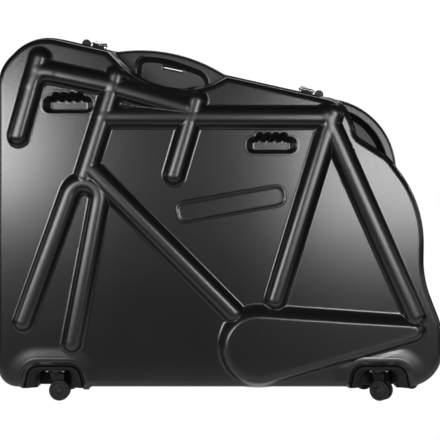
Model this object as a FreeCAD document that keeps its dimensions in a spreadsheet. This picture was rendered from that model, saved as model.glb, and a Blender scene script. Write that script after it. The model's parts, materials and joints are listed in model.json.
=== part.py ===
import FreeCAD, Part
import math
import os
import re
import Sketcher

# Bike travel case. Millimetres. The case stands on the floor (z = 0) with its length along x.
# The shells meet in the plane y = 0: the front shell lies on the -y side, the rear shell on the +y side.

Vector = FreeCAD.Vector
Rotation = FreeCAD.Rotation
Placement = FreeCAD.Placement

sizes = {
    # whole case
    "case_length": 1180,
    "shell_height": 924,
    "ground_clearance": 30,
    "shell_depth": 165,
    "shell_wall": 4,
    # form of the shells
    "side_draft": 31,
    "bottom_draft": 8,
    "dip_draft": 16,
    "panel_edge_radius": 14,
    "flange_depth": 34,
    "flange_edge_radius": 5,
    "flange_step": 1,
    "corner_radius_min": 2,
    # rims and seal
    "rim_depth": 12,
    "rim_width": 13,
    "rim_ledge": 3,
    "rim_skirt_depth": 8,
    "rim_parting": 0.4,
    "seat_clearance": 0.3,
    "seal_inset": 5,
    "seal_width": 4,
    "seal_depth": 4,
    # ribs and raised teardrop on the panels
    "rib_radius": 29,
    "fork_rib_radius": 26,
    "teardrop_rise": 25,
    "teardrop_slope": 20,
    # carrying handles in the flange
    "top_pocket_slope": 9,
    "corner_handle_bar": 20,
    "corner_pocket_slope": 17,
    "handle_floor_depth": 16,
    "handle_slit_length": 54,
    "handle_slit_width": 8,
    # finger pockets in the panels
    "finger_pocket_width": 127,
    "finger_pocket_height": 41,
    "finger_pocket_radius": 18,
    "finger_pocket_depth": 32,
    "finger_pocket_draft": 8,
    "finger_pitch": 20,
    "finger_radius": 11,
    # caster housings
    "well_half_width": 76,
    "well_top_half_width": 62,
    "well_top": 93,
    "well_bottom": 35,
    "well_corner_radius": 30,
    "well_lip_width": 14,
    "well_lip_slope": 18,
    "well_lip_rise": 9,
    "well_back": 47,
    "housing_cavity_half_width": 46,
    "housing_cavity_top_half_width": 42,
    "housing_cavity_top": 82,
    "housing_cavity_radius": 16,
    "housing_wall": 6,
    # casters
    "caster_line": 100,
    "wheel_radius": 27,
    "wheel_width": 11,
    "wheel_edge": 3,
    "wheel_dish": 2,
    "wheel_hub_radius": 8,
    "wheel_rim_radius": 19,
    "wheel_gap": 12,
    "caster_trail": 10,
    "axle_radius": 3,
    "caster_plate_size": 52,
    "caster_plate_thickness": 4,
    "race_radius": 18,
    "race_height": 4,
    "swivel_radius": 20,
    "swivel_height": 4,
    "kingpin_radius": 5,
    "web_thickness": 11,
    "web_boss_radius": 9,
    "web_back_share": 0.7,
    "web_front_share": 0.8,
    "web_foot_share": 0.55,
    "running_clearance": 0.05,
    "moving_gap": 0.4,
    "caster_screw_radius": 2.5,
    "caster_screw_head_radius": 4,
    "caster_screw_head_height": 2,
    "caster_screw_pitch": 42,
    # bottom hinges
    "hinge_spacing": 440,
    "hinge_length": 78,
    "hinge_pin_radius": 2,
    "knuckle_radius": 4,
    "hinge_leaf_width": 18,
    "hinge_leaf_thickness": 2,
    # draw latches: common sizes, then those of the tall top latches and of the low side latches
    "latch_half_width": 19,
    "latch_ear": 2.5,
    "latch_pivot_reach": 7,
    "latch_lever_length": 19,
    "latch_throw": 7.5,
    "latch_bail_reach": 9.4,
    "keeper_half_width": 15,
    "keeper_length": 15,
    "keeper_ridge_width": 2,
    "keeper_ridge_share": 0.8,
    "lever_lug_share": 0.65,
    "peg_share": 0.6,
    "bail_arm_share": 0.95,
    "bail_eye_share": 1.3,
    "top_latch_plate": 1.5,
    "top_latch_pivot_rise": 11,
    "top_latch_pin_radius": 1.5,
    "top_latch_lever_thickness": 2,
    "top_latch_lever_rise": 3,
    "top_latch_tab_rise": 5,
    "top_latch_over_centre": 1.3,
    "top_latch_wire_radius": 1.3,
    "top_latch_keeper_rise": 7.3,
    "top_latch_keeper_ridge": 0.7,
    "side_latch_plate": 0.9,
    "side_latch_pivot_rise": 3.1,
    "side_latch_pin_radius": 0.9,
    "side_latch_lever_thickness": 1.2,
    "side_latch_lever_rise": 1.3,
    "side_latch_tab_rise": 0.3,
    "side_latch_over_centre": 0.8,
    "side_latch_wire_radius": 0.9,
    "side_latch_keeper_rise": 0.9,
    "side_latch_keeper_ridge": 0.3,
    # locks beside the top latches
    "lock_radius": 12,
    "lock_rise": 5,
    "lock_length": 15,
    "lock_offset": 35,
    "lock_core_radius": 4.5,
    "lock_bore_share": 0.7,
    "lock_core_share": 0.6,
    # soft fittings inside
    "foam_thickness": 30,
    "foam_margin": 34,
    "foam_floor": 120,
    "strap_width": 40,
    "strap_thickness": 2,
    "strap_length": 420,
    "strap_middle_share": 0.43,
    "buckle_length": 62,
    "buckle_width": 52,
    "buckle_thickness": 8,
    "buckle_slot_width": 42,
    "buckle_slot_height": 10,
    "buckle_slot_offset": 15,
    "anchor_length": 26,
    "anchor_width": 50,
    "anchor_thickness": 3,
    "rivet_radius": 4,
    "rivet_rise": 1.5,
    "rivet_pitch": 30,
}

# Corners of the rim outline, clockwise from the bottom left: x, z and corner radius.
# x and radius are shares of the case length, z of the shell height.
rim_outline_shares = [
    (-0.5, 0.0, 0.056),
    (-0.5, 0.9042, 0.1049),
    (-0.4238, 1.0006, 0.1094),
    (-0.3643, 1.0, 0.114),
    (-0.2335, 0.9619, 0.0322),
    (-0.1035, 0.9802, 0.355),
    (0.0093, 0.8963, 0.0229),
    (0.3866, 0.7887, 0.166),
    (0.3981, 0.6279, 0.0136),
    (0.4593, 0.5211, 0.27),
    (0.4573, 0.3121, 0.2144),
    (0.5013, 0.1666, 0.1644),
    (0.4975, 0.0, 0.0915),
]

# Where the deep part of the shell leaves the rim outline to make room for the two handles.
top_dip_start_share = 0.975
top_dip_end_share = 0.012
corner_dip_start_share = 0.752
corner_dip_end_share = -0.33
top_dip_bottom_shares = (-0.1176, 0.8035, 0.1686)
corner_dip_bottom_shares = (0.3087, 0.7197, 0.0093)
dip_corner_shares = {"top_start": 0.0136, "top_end": 0.0169, "corner_start": 0.0957, "corner_end": 0.0915}

# Centre lines of the raised ribs: x as shares of the case length, z of the shell height.
rib_shares = {
    "handlebar": [(-0.3902, 0.9199), (-0.4372, 0.7079)],
    "stem": [(-0.3934, 0.8883), (-0.2316, 0.8447)],
    "head_tube": [(-0.2252, 0.8703), (-0.2931, 0.5963)],
    "upper_brace": [(-0.2295, 0.8390), (-0.0764, 0.7830)],
    "top_tube": [(-0.2532, 0.7561), (0.2364, 0.7547)],
    "seat_post": [(-0.0526, 0.8029), (-0.1001, 0.5990)],
    "seat_tube": [(0.2430, 0.7690), (0.1188, 0.2548)],
    "seat_stay": [(0.2278, 0.7643), (0.4197, 0.2107)],
    "down_tube": [(-0.2769, 0.6101), (0.0272, 0.2189)],
}
fork_rib_shares = [
    (-0.4258, 0.1942),
    (-0.3244, 0.5523),
    (-0.2975, 0.5780),
    (-0.2640, 0.5302),
    (-0.3201, 0.1364),
]
teardrop_shares = [(0.0822, 0.1273, 0.0856), (0.4142, 0.1714, 0.0280)]
finger_pocket_shares = [(-0.3295, 0.7719), (0.1109, 0.6601)]
# Mouth of the top handle's hand pocket, clockwise from the bottom left, its lower edge inside the deep part.
top_pocket_shares = [
    (-0.1881, 0.8225, 0.004),
    (-0.1847, 0.9405, 0.0119),
    (-0.1271, 0.9394, 0.1017),
    (-0.0322, 0.8961, 0.0169),
    (-0.0254, 0.8225, 0.004),
]
corner_pocket_start_share = 0.1
handle_slit_shares = (-0.1075, 0.9137)
handle_slit_slope = -12
well_centre_shares = {"left": -0.3627, "right": 0.3475}
# Corner arcs on one straight edge take up at most this share of it.
corner_fit_share = 0.98
draft_steps = 3
finger_count = 4

# Rest turn of each caster about its stem, degrees.
caster_turns = {
    ("front", "left"): 0,
    ("front", "right"): -33,
    ("rear", "left"): 24,
    ("rear", "right"): 160,
}

# Places of the latches along the rim outline: corner the stretch follows, its kind, and the share along it.
latch_place_shares = {
    "top_left": (3, "line", 0.66),
    "top_right": (6, "line", 0.71),
    "side_left": (0, "line", 0.55),
    "side_right": (9, "arc", 0.80),
}
lock_sides = {"top_left": "-lock_offset", "top_right": "lock_offset"}
strap_place_shares = {"left": -0.17, "right": 0.13}

doc = FreeCAD.newDocument("bike_travel_case")
sheet = doc.addObject("Spreadsheet::Sheet", "Sizes")
for row, (size_name, size_value) in enumerate(sizes.items(), start=1):
    sheet.set(f"A{row}", size_name)
    sheet.set(f"B{row}", str(size_value))
    sheet.setAlias(f"B{row}", size_name)
doc.recompute()


def size(name):
    """A driving dimension, read back from the sheet."""
    return float(sheet.get(name))


def formula(text):
    """Turn size names in a formula into references to the sheet."""
    return re.sub(r"[a-z_]{3,}", lambda found: "Sizes." + found.group(), text)


nodes = []


def keep(obj, label):
    """Give a finished sub-part its own name."""
    obj.Label = label
    nodes.append(obj)
    return obj


# Outlines


def place_share(x_share, z_share):
    x = x_share * size("case_length")
    z = size("ground_clearance") + z_share * size("shell_height")
    return x, z


def corner(x_share, z_share, radius_share):
    return (*place_share(x_share, z_share), radius_share * size("case_length"))


def directions(points):
    """Unit direction of every edge, from each corner to the next."""
    result = []
    for here, there in zip(points, points[1:] + points[:1]):
        length = math.hypot(there[0] - here[0], there[1] - here[1])
        result.append(((there[0] - here[0]) / length, (there[1] - here[1]) / length))
    return result


def inset(points, distances):
    """Move each edge of a clockwise outline inwards by its distance."""
    if not isinstance(distances, list):
        distances = [distances] * len(points)
    along = directions(points)
    moved = []
    for index, (x, z, radius) in enumerate(points):
        before, after = along[index - 1], along[index]
        first, second = distances[index - 1], distances[index]
        turn = before[0] * after[1] - before[1] * after[0]
        step_x = (after[0] * first - before[0] * second) / turn
        step_z = (after[1] * first - before[1] * second) / turn
        mean = (first + second) / 2
        if turn < 0:
            radius = max(radius - mean, size("corner_radius_min"))
        else:
            radius = max(radius + mean, size("corner_radius_min"))
        moved.append((x - step_x, z - step_z, radius))
    return moved


def rounded_corners(points):
    """Start, middle, end and leaving direction of each corner arc."""
    along = directions(points)
    turns = []
    for index in range(len(points)):
        before, after = along[index - 1], along[index]
        cross = before[0] * after[1] - before[1] * after[0]
        turns.append(math.atan2(cross, before[0] * after[0] + before[1] * after[1]))
    reach = [points[index][2] * math.tan(abs(turns[index]) / 2) for index in range(len(points))]
    fitted = list(reach)
    for index in range(len(points)):
        there = (index + 1) % len(points)
        length = math.hypot(points[there][0] - points[index][0], points[there][1] - points[index][1])
        share = min(1, corner_fit_share * length / (reach[index] + reach[there]))
        fitted[index] = min(fitted[index], reach[index] * share)
        fitted[there] = min(fitted[there], reach[there] * share)
    arcs = []
    for index, (x, z, radius) in enumerate(points):
        before, after = along[index - 1], along[index]
        start = (x - fitted[index] * before[0], z - fitted[index] * before[1])
        end = (x + fitted[index] * after[0], z + fitted[index] * after[1])
        radius = fitted[index] / math.tan(abs(turns[index]) / 2)
        side = math.copysign(1, turns[index])
        centre = (start[0] - side * before[1] * radius, start[1] + side * before[0] * radius)
        out = math.hypot(x - centre[0], z - centre[1])
        middle = (centre[0] + (x - centre[0]) * radius / out, centre[1] + (z - centre[1]) * radius / out)
        arcs.append({"start": start, "middle": middle, "end": end, "centre": centre, "radius": radius,
                     "turn": turns[index], "after": after})
    return arcs


def upright(point, y):
    return Vector(point[0], y, point[1])


def wire(points, y):
    """Closed outline with rounded corners in the plane at y."""
    arcs = rounded_corners(points)
    edges = []
    for here, there in zip(arcs, arcs[1:] + arcs[:1]):
        start, middle, end = [upright(here[part], y) for part in ("start", "middle", "end")]
        edges.append(Part.Arc(start, middle, end).toShape())
        edges.append(Part.LineSegment(end, upright(there["start"], y)).toShape())
    return Part.Wire(edges)


def loft(sections):
    """Ruled solid through outlines given as (points, y)."""
    return Part.makeLoft([wire(points, y) for points, y in sections], True, True)


def prism(points, y_from, y_to):
    return Part.Face(wire(points, y_from)).extrude(Vector(0, y_to - y_from, 0))


def ring(points, inner_inset, y_from, y_to):
    """Band along the inside of an outline."""
    return prism(points, y_from, y_to).cut(prism(inset(points, inner_inset), y_from, y_to))


rim_outline = [corner(*shares) for shares in rim_outline_shares]


def on_edge(index, share, radius_share):
    """Corner that lies on the line from one rim corner to the next."""
    here, there = rim_outline[index], rim_outline[(index + 1) % len(rim_outline)]
    x = here[0] + share * (there[0] - here[0])
    z = here[1] + share * (there[1] - here[1])
    return (x, z, radius_share * size("case_length"))


# The deep part follows the rim outline but dips below both handles.
deep_outline = [
    *rim_outline[:4],
    on_edge(3, top_dip_start_share, dip_corner_shares["top_start"]),
    corner(*top_dip_bottom_shares),
    on_edge(6, top_dip_end_share, dip_corner_shares["top_end"]),
    on_edge(6, corner_dip_start_share, dip_corner_shares["corner_start"]),
    corner(*corner_dip_bottom_shares),
    on_edge(8, corner_dip_end_share, dip_corner_shares["corner_end"]),
    *rim_outline[9:],
]
side, dip, bottom = "side_draft", "dip_draft", "bottom_draft"
deep_drafts = [side, side, side, side, dip, dip, side, dip, dip, side, side, side, side, bottom]


# Shells


def deep_solid(skin):
    """Deep part of the front shell, shrunk by a skin thickness on all sides but the open one."""
    depth = size("shell_depth") - skin
    base_inset = size("rim_ledge") + size("flange_step") + skin
    round_radius = size("panel_edge_radius") - skin
    sections = []
    opening = -size("rim_depth") + skin
    for y in (opening, -size("flange_depth")):
        sections.append((inset(deep_outline, base_inset), y))
    for step in range(draft_steps + 1):
        angle = math.pi / 2 * step / draft_steps
        y = -(depth - round_radius + round_radius * math.sin(angle))
        rounding = round_radius * (1 - math.cos(angle))
        insets = [base_inset + size(draft) + rounding for draft in deep_drafts]
        sections.append((inset(deep_outline, insets), y))
    return loft(sections)


def handle_pocket_solids(skin):
    """Hand pockets of the top and the corner handle: mouth in the flange face, slopes to a narrower floor."""
    floor = -(size("handle_floor_depth") - skin)
    face = -(size("flange_depth") - skin)
    beyond = face - size("flange_depth")
    top_mouth = inset([corner(*shares) for shares in top_pocket_shares], -skin)
    corner_mouth = inset(rim_outline, size("corner_handle_bar") - skin)
    top_slope, corner_slope = size("top_pocket_slope"), size("corner_pocket_slope")
    top_pocket = loft([(inset(top_mouth, top_slope), floor), (top_mouth, face), (top_mouth, beyond)])
    corner_floor = inset(corner_mouth, corner_slope)
    corner_pocket = loft([(corner_floor, floor), (corner_mouth, face), (corner_mouth, beyond)])
    length, height = size("case_length"), size("shell_height")
    start = corner_pocket_start_share * length
    tail_side = Part.makeBox(length, -beyond, 2 * height, Vector(start, beyond, 0))
    return [top_pocket, corner_pocket.common(tail_side)]


def flange_solid(skin):
    """Flange slab with a rounded edge and the two handle lugs, less their hand pockets."""
    face = size("flange_depth") - skin
    edge = size("flange_edge_radius")
    base = inset(rim_outline, size("rim_ledge") + skin)
    slab = loft([
        (base, -size("rim_depth") + skin),
        (base, -face + edge),
        (inset(base, edge * (1 - math.cos(math.pi / 4))), -face + edge * (1 - math.sin(math.pi / 4))),
        (inset(base, edge), -face),
    ])
    return slab.cut(handle_pocket_solids(skin))


def rod(start, end, radius):
    """Round bar with domed ends between two points."""
    axis = end.sub(start)
    bar = Part.makeCylinder(radius, axis.Length, start, axis)
    return [bar, Part.makeSphere(radius, start), Part.makeSphere(radius, end)]


def rib_solids(skin):
    """All tube ribs of the panel, shrunk by a skin thickness; their axes lie on the panel's inner face."""
    y = -(size("shell_depth") - size("shell_wall"))
    paths = [(path, size("rib_radius")) for path in rib_shares.values()]
    paths.append((fork_rib_shares, size("fork_rib_radius")))
    solids = []
    for path, radius in paths:
        spots = [upright(place_share(*share), y) for share in path]
        pieces = []
        for start, end in zip(spots, spots[1:]):
            pieces += rod(start, end, radius - skin)
        solids.append(pieces[0].multiFuse(pieces[1:]).removeSplitter())
    return solids


def teardrop_wire(shrink, y):
    """Outline around two circles, joined by their outer tangents."""
    (x1, z1, r1), (x2, z2, r2) = [corner(*shares) for shares in teardrop_shares]
    r1, r2 = r1 - shrink, r2 - shrink
    span = math.hypot(x2 - x1, z2 - z1)
    heading = math.atan2(z2 - z1, x2 - x1)
    spread = math.acos((r1 - r2) / span)

    def spot(x, z, radius, angle):
        return Vector(x + radius * math.cos(angle), y, z + radius * math.sin(angle))

    upper, lower = heading + spread, heading - spread
    edges = [
        Part.Arc(spot(x1, z1, r1, upper), spot(x1, z1, r1, heading + math.pi),
                 spot(x1, z1, r1, lower)).toShape(),
        Part.LineSegment(spot(x1, z1, r1, lower), spot(x2, z2, r2, lower)).toShape(),
        Part.Arc(spot(x2, z2, r2, lower), spot(x2, z2, r2, heading), spot(x2, z2, r2, upper)).toShape(),
        Part.LineSegment(spot(x2, z2, r2, upper), spot(x1, z1, r1, upper)).toShape(),
    ]
    return Part.Wire(edges)


def teardrop_solid(skin):
    """Raised pad with sloped sides over the chain side of the bicycle."""
    rise = size("teardrop_rise")
    slope = size("teardrop_slope")
    foot = -(size("shell_depth") - 2 * size("shell_wall"))
    top = -(size("shell_depth") + rise - skin)
    return Part.makeLoft([teardrop_wire(skin, foot), teardrop_wire(skin, foot - size("shell_wall")),
                          teardrop_wire(slope + skin, top)], True, True)


def finger_pocket_solid(x, z, skin):
    """Recess for a hand: a rounded tray with four finger scallops along its upper edge."""
    depth = size("finger_pocket_depth") + skin
    draft = size("finger_pocket_draft")
    half = size("finger_pocket_width") / 2
    mouth = -(size("shell_depth") + size("rib_radius"))
    floor = -(size("shell_depth") - depth)
    panel = -size("shell_depth")
    radius = size("finger_pocket_radius")
    low, high = z, z + size("finger_pocket_height")
    outline = [
        (x - half, low, radius),
        (x - half, high, radius),
        (x + half, high, radius),
        (x + half, low, radius),
    ]
    wide_outline = inset(outline, -skin)
    tray = loft([(wide_outline, mouth), (wide_outline, panel), (inset(outline, draft - skin), floor)])
    scallops = []
    for index in range(finger_count):
        centre = x + (index - (finger_count - 1) / 2) * size("finger_pitch")
        wide = size("finger_radius") + skin
        straight = Part.makeCylinder(wide, panel - mouth, Vector(centre, mouth, high), Vector(0, 1, 0))
        taper = Part.makeCone(wide, wide - draft, floor - panel, Vector(centre, panel, high), Vector(0, 1, 0))
        scallops += [straight, taper]
    return tray.multiFuse(scallops)


def well_outline(centre, grow):
    """Arch of a caster housing, open at the bottom, grown outwards."""
    half, top_half = size("well_half_width"), size("well_top_half_width")
    radius = size("well_corner_radius")
    least = size("corner_radius_min")
    arch = [
        (centre - half, size("well_bottom"), least),
        (centre - top_half, size("well_top"), radius),
        (centre + top_half, size("well_top"), radius),
        (centre + half, size("well_bottom"), least),
    ]
    return inset(arch, [-grow, -grow, -grow, 0])


def lowered(points, drop):
    """The same arch with its two feet drawn further down."""
    along = directions(points)
    feet = []
    for (x, z, radius), (step_x, step_z) in ((points[0], along[0]), (points[3], along[2])):
        feet.append((x - step_x / step_z * drop, z - drop, radius))
    return [feet[0], points[1], points[2], feet[1]]


def well_lip_solid(centre):
    """Raised lip around a caster housing."""
    lip, slope = size("well_lip_width"), size("well_lip_slope")
    foot = -(size("shell_depth") - size("shell_wall"))
    top = -(size("shell_depth") + size("well_lip_rise"))
    return loft([(well_outline(centre, lip + slope), foot), (well_outline(centre, lip), top)])


def front_shell_shape():
    """Thin thermoformed shell: outer form less inner form, then the openings."""
    wall = size("shell_wall")
    wells = [share * size("case_length") for share in well_centre_shares.values()]
    floor_cut = size("ground_clearance") + size("rim_ledge") + size("bottom_draft")
    lips = [well_lip_solid(centre) for centre in wells]
    below = Part.makeBox(size("case_length"), size("shell_depth") * 2, floor_cut,
                         Vector(-size("case_length") / 2, -size("shell_depth") * 2, 0))
    lips = [lip.cut(below) for lip in lips]
    outer = deep_solid(0).multiFuse([flange_solid(0), teardrop_solid(0), *rib_solids(0), *lips])
    inner = deep_solid(wall).multiFuse([flange_solid(wall), teardrop_solid(wall), *rib_solids(wall)])
    spots = [place_share(*shares) for shares in finger_pocket_shares]
    outer = outer.cut([finger_pocket_solid(x, z, 0) for x, z in spots])
    inner = inner.cut([finger_pocket_solid(x, z, wall) for x, z in spots])
    shell = outer.cut(inner)
    well_front = -(size("shell_depth") + size("rib_radius"))
    cuts = []
    for centre in wells:
        arch = lowered(well_outline(centre, size("seat_clearance")), size("well_bottom"))
        cuts.append(prism(arch, well_front, -size("well_back") + size("seat_clearance")))
    cuts.append(handle_slit_shape())
    return shell.cut(cuts)


def handle_slit_shape():
    """Slot through the web of the top handle."""
    length, width = size("handle_slit_length"), size("handle_slit_width")
    x, z = place_share(*handle_slit_shares)
    half, tall = length / 2, width / 2
    radius = tall * corner_fit_share
    outline = [(-half, -tall, radius), (-half, tall, radius), (half, tall, radius), (half, -tall, radius)]
    slit = prism(outline, -size("flange_depth"), 0)
    slit.Placement = Placement(Vector(x, 0, z), Rotation(Vector(0, 1, 0), -handle_slit_slope))
    return slit


def shape_feature(label, shape):
    feature = doc.addObject("Part::Feature", label)
    feature.Shape = shape
    return keep(feature, label)


def mirrored(source, label):
    mirror = doc.addObject("Part::Mirroring", label)
    mirror.Source = source
    mirror.Normal = Vector(0, 1, 0)
    mirror.Base = Vector(0, 0, 0)
    return keep(mirror, label)


front_shell = shape_feature("front_shell", front_shell_shape())
mirrored(front_shell, "rear_shell")


# Rims and seal


def rim_shape():
    """Rim profile of the front half: a flat band with an outer skirt over the shell's edge."""
    parting = -size("rim_parting") / 2
    band = ring(rim_outline, size("rim_width"), -size("rim_depth"), parting)
    skirt_end = -(size("rim_depth") + size("rim_skirt_depth"))
    skirt = ring(rim_outline, size("rim_ledge") - size("seat_clearance"), skirt_end, -size("rim_depth"))
    return band.fuse(skirt).removeSplitter()


def rear_rim_shape():
    """Mirror of the front rim with a groove for the seal."""
    rim = rim_shape().mirror(Vector(0, 0, 0), Vector(0, 1, 0))
    parting = size("rim_parting") / 2
    groove = ring(inset(rim_outline, size("seal_inset")), size("seal_width"), 0, parting + size("seal_depth"))
    return rim.cut(groove)


def seal_shape():
    """Rubber strip on the floor of the groove."""
    parting = size("rim_parting") / 2
    clearance = size("seat_clearance")
    outline = inset(rim_outline, size("seal_inset") + clearance)
    return ring(outline, size("seal_width") - 2 * clearance, parting, parting + size("seal_depth"))


shape_feature("front_rim", rim_shape())
shape_feature("rear_rim", rear_rim_shape())
shape_feature("rim_seal", seal_shape())


# Primitives whose sizes and places follow the sheet


def bind(obj, **formulas):
    for key, text in formulas.items():
        obj.setExpression(key.replace("__", "."), formula(text))
    return obj


def bind_place(obj, place):
    for axis, text in zip("xyz", place):
        obj.setExpression(f"Placement.Base.{axis}", formula(text))
    return obj


def block(name, place, lengths):
    """Box from its low corner and its three lengths."""
    obj = doc.addObject("Part::Box", name)
    bind(obj, Length=lengths[0], Width=lengths[1], Height=lengths[2])
    return bind_place(obj, place)


turned_to = {
    "x": Rotation(Vector(0, 1, 0), 90),
    "y": Rotation(Vector(1, 0, 0), -90),
    "z": Rotation(),
}


def round_bar(name, place, radius, length, axis="z"):
    """Cylinder from the centre of its low end, along an axis."""
    obj = doc.addObject("Part::Cylinder", name)
    obj.Placement = Placement(Vector(), turned_to[axis])
    bind(obj, Radius=radius, Height=length)
    return bind_place(obj, place)


def joined(name, shapes):
    obj = doc.addObject("Part::MultiFuse", name)
    obj.Shapes = shapes
    obj.Refine = True
    return obj


def group(name, shapes):
    obj = doc.addObject("Part::Compound", name)
    obj.Links = shapes
    return obj


def less(name, base, tools):
    tool = tools[0] if len(tools) == 1 else group(name + "_tools", tools)
    obj = doc.addObject("Part::Cut", name)
    obj.Base = base
    obj.Tool = tool
    obj.Refine = True
    return obj


def sketch_body(name, plane_role, corners):
    """Body with a closed sketch of straight edges; each corner is a pair of formulas."""
    body = doc.addObject("PartDesign::Body", name)
    sketch = body.newObject("Sketcher::SketchObject", name + "_sketch")
    plane = [item for item in body.Origin.OriginFeatures if item.Role == plane_role][0]
    sketch.AttachmentSupport = [(plane, "")]
    sketch.MapMode = "FlatFace"
    count = len(corners)
    spots = []
    for index in range(count):
        angle = 2 * math.pi * index / count
        spots.append(Vector(math.cos(angle), math.sin(angle), 0))
    for index in range(count):
        sketch.addGeometry(Part.LineSegment(spots[index], spots[(index + 1) % count]), False)
    for index in range(count):
        sketch.addConstraint(Sketcher.Constraint("Coincident", index, 2, (index + 1) % count, 1))
    for index, texts in enumerate(corners):
        for kind, text, first_guess in zip(("DistanceX", "DistanceY"), texts, spots[index]):
            number = sketch.addConstraint(Sketcher.Constraint(kind, -1, 1, index, 1, first_guess))
            sketch.setExpression(f"Constraints[{number}]", formula(text))
    return body, sketch


def padded(name, plane_role, corners, length):
    """Sketch outline padded evenly to both sides of its plane."""
    body, sketch = sketch_body(name, plane_role, corners)
    pad = body.newObject("PartDesign::Pad", name + "_pad")
    pad.Profile = sketch
    pad.Midplane = True
    bind(pad, Length=length)
    return body


def turned(name, plane_role, corners, axis):
    """Sketch outline revolved about the upright or flat axis of its sketch."""
    body, sketch = sketch_body(name, plane_role, corners)
    revolution = body.newObject("PartDesign::Revolution", name + "_turn")
    revolution.Profile = sketch
    revolution.ReferenceAxis = (sketch, [axis])
    revolution.Angle = 360
    return body


def placed(obj, label, placement):
    """Keep a finished form at its own place."""
    obj.Placement = placement
    return keep(obj, label)


# Casters


def housing_shape(centre):
    """Moulded arch block of a caster with the tunnel that the wheels turn in."""
    front, back = -size("shell_depth"), -size("well_back")
    body = prism(well_outline(centre, 0), front, back)
    half, top_half = size("housing_cavity_half_width"), size("housing_cavity_top_half_width")
    radius = size("housing_cavity_radius")
    least = size("corner_radius_min")
    cavity = [
        (centre - half, 0, least),
        (centre - top_half, size("housing_cavity_top"), radius),
        (centre + top_half, size("housing_cavity_top"), radius),
        (centre + half, 0, least),
    ]
    return body.cut(prism(cavity, front - size("housing_wall"), back - size("housing_wall")))


plate_bottom = "housing_cavity_top - caster_plate_thickness"
race_bottom = plate_bottom + " - race_height"
swivel_top = race_bottom + " - moving_gap"
swivel_bottom = swivel_top + " - swivel_height"
screw_spots = [(across, along) for across in ("", "-") for along in ("", "-")]


def caster_plate(name):
    """Square top plate with the swivel race below it."""
    plate = block(name + "_square", ("-caster_plate_size / 2", "-caster_plate_size / 2", plate_bottom),
                  ("caster_plate_size", "caster_plate_size", "caster_plate_thickness"))
    race = round_bar(name + "_race", ("0", "0", race_bottom), "race_radius",
                     "race_height + caster_plate_thickness")
    bore = round_bar(name + "_bore", ("0", "0", race_bottom + " - race_height"),
                     "kingpin_radius + running_clearance", "3 * race_height")
    holes = [bore]
    for number, (across, along) in enumerate(screw_spots):
        spot = (across + "caster_screw_pitch / 2", along + "caster_screw_pitch / 2", race_bottom)
        holes.append(round_bar(f"{name}_hole{number}", spot, "caster_screw_radius + running_clearance",
                               "3 * race_height"))
    return less(name, joined(name + "_solid", [plate, race]), holes)


def caster_screws(name):
    """Four screws of a top plate: heads below the plate, ends in the housing."""
    screws = []
    for number, (across, along) in enumerate(screw_spots):
        x, y = across + "caster_screw_pitch / 2", along + "caster_screw_pitch / 2"
        head = round_bar(f"{name}_head{number}", (x, y, plate_bottom + " - caster_screw_head_height"),
                         "caster_screw_head_radius", "caster_screw_head_height")
        shank = round_bar(f"{name}_shank{number}", (x, y, plate_bottom), "caster_screw_radius",
                          "caster_plate_thickness")
        screws.append(joined(f"{name}_screw{number}", [head, shank]))
    return group(name, screws)


def caster_fork(name):
    """Swivel disc with kingpin, and the web between the wheels that carries the axle."""
    disc = turned(name + "_swivel", "XZ_Plane", [
        ("0", swivel_bottom),
        ("swivel_radius - wheel_edge", swivel_bottom),
        ("swivel_radius", swivel_bottom + " + wheel_edge"),
        ("swivel_radius", swivel_top),
        ("kingpin_radius", swivel_top),
        ("kingpin_radius", plate_bottom + " + caster_plate_thickness / 2"),
        ("0", plate_bottom + " + caster_plate_thickness / 2"),
    ], "V_Axis")
    web = padded(name + "_web", "XZ_Plane", [
        ("-swivel_radius * web_back_share", swivel_bottom + " + swivel_height / 2"),
        ("-swivel_radius * web_back_share", swivel_bottom + " - swivel_height"),
        ("caster_trail - web_boss_radius", "wheel_radius"),
        ("caster_trail + web_boss_radius", "wheel_radius"),
        ("caster_trail + swivel_radius * web_foot_share", swivel_bottom + " - swivel_height"),
        ("swivel_radius * web_front_share", swivel_bottom + " + swivel_height / 2"),
    ], "web_thickness")
    boss = round_bar(name + "_boss", ("caster_trail", "-web_thickness / 2", "wheel_radius"),
                     "web_boss_radius", "web_thickness", "y")
    bore = round_bar(name + "_axle_bore", ("caster_trail", "-wheel_gap", "wheel_radius"),
                     "axle_radius + running_clearance", "2 * wheel_gap", "y")
    return less(name, joined(name + "_solid", [disc, web, boss]), [bore])


wheel_profile = [
    ("axle_radius + running_clearance", "wheel_gap / 2"),
    ("wheel_radius - wheel_edge", "wheel_gap / 2"),
    ("wheel_radius", "wheel_gap / 2 + wheel_edge"),
    ("wheel_radius", "wheel_gap / 2 + wheel_width - wheel_edge"),
    ("wheel_radius - wheel_edge", "wheel_gap / 2 + wheel_width"),
    ("wheel_rim_radius", "wheel_gap / 2 + wheel_width"),
    ("wheel_rim_radius - wheel_dish", "wheel_gap / 2 + wheel_width - wheel_dish"),
    ("wheel_hub_radius + wheel_dish", "wheel_gap / 2 + wheel_width - wheel_dish"),
    ("wheel_hub_radius", "wheel_gap / 2 + wheel_width"),
    ("axle_radius + running_clearance", "wheel_gap / 2 + wheel_width"),
]


def wheel_pair(name):
    """Two dished wheels on one axle line."""
    wheel = turned(name + "_near", "XY_Plane", wheel_profile, "V_Axis")
    twin = doc.addObject("Part::Mirroring", name + "_far")
    twin.Source = wheel
    twin.Normal = Vector(0, 1, 0)
    return group(name, [wheel, twin])


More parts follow.
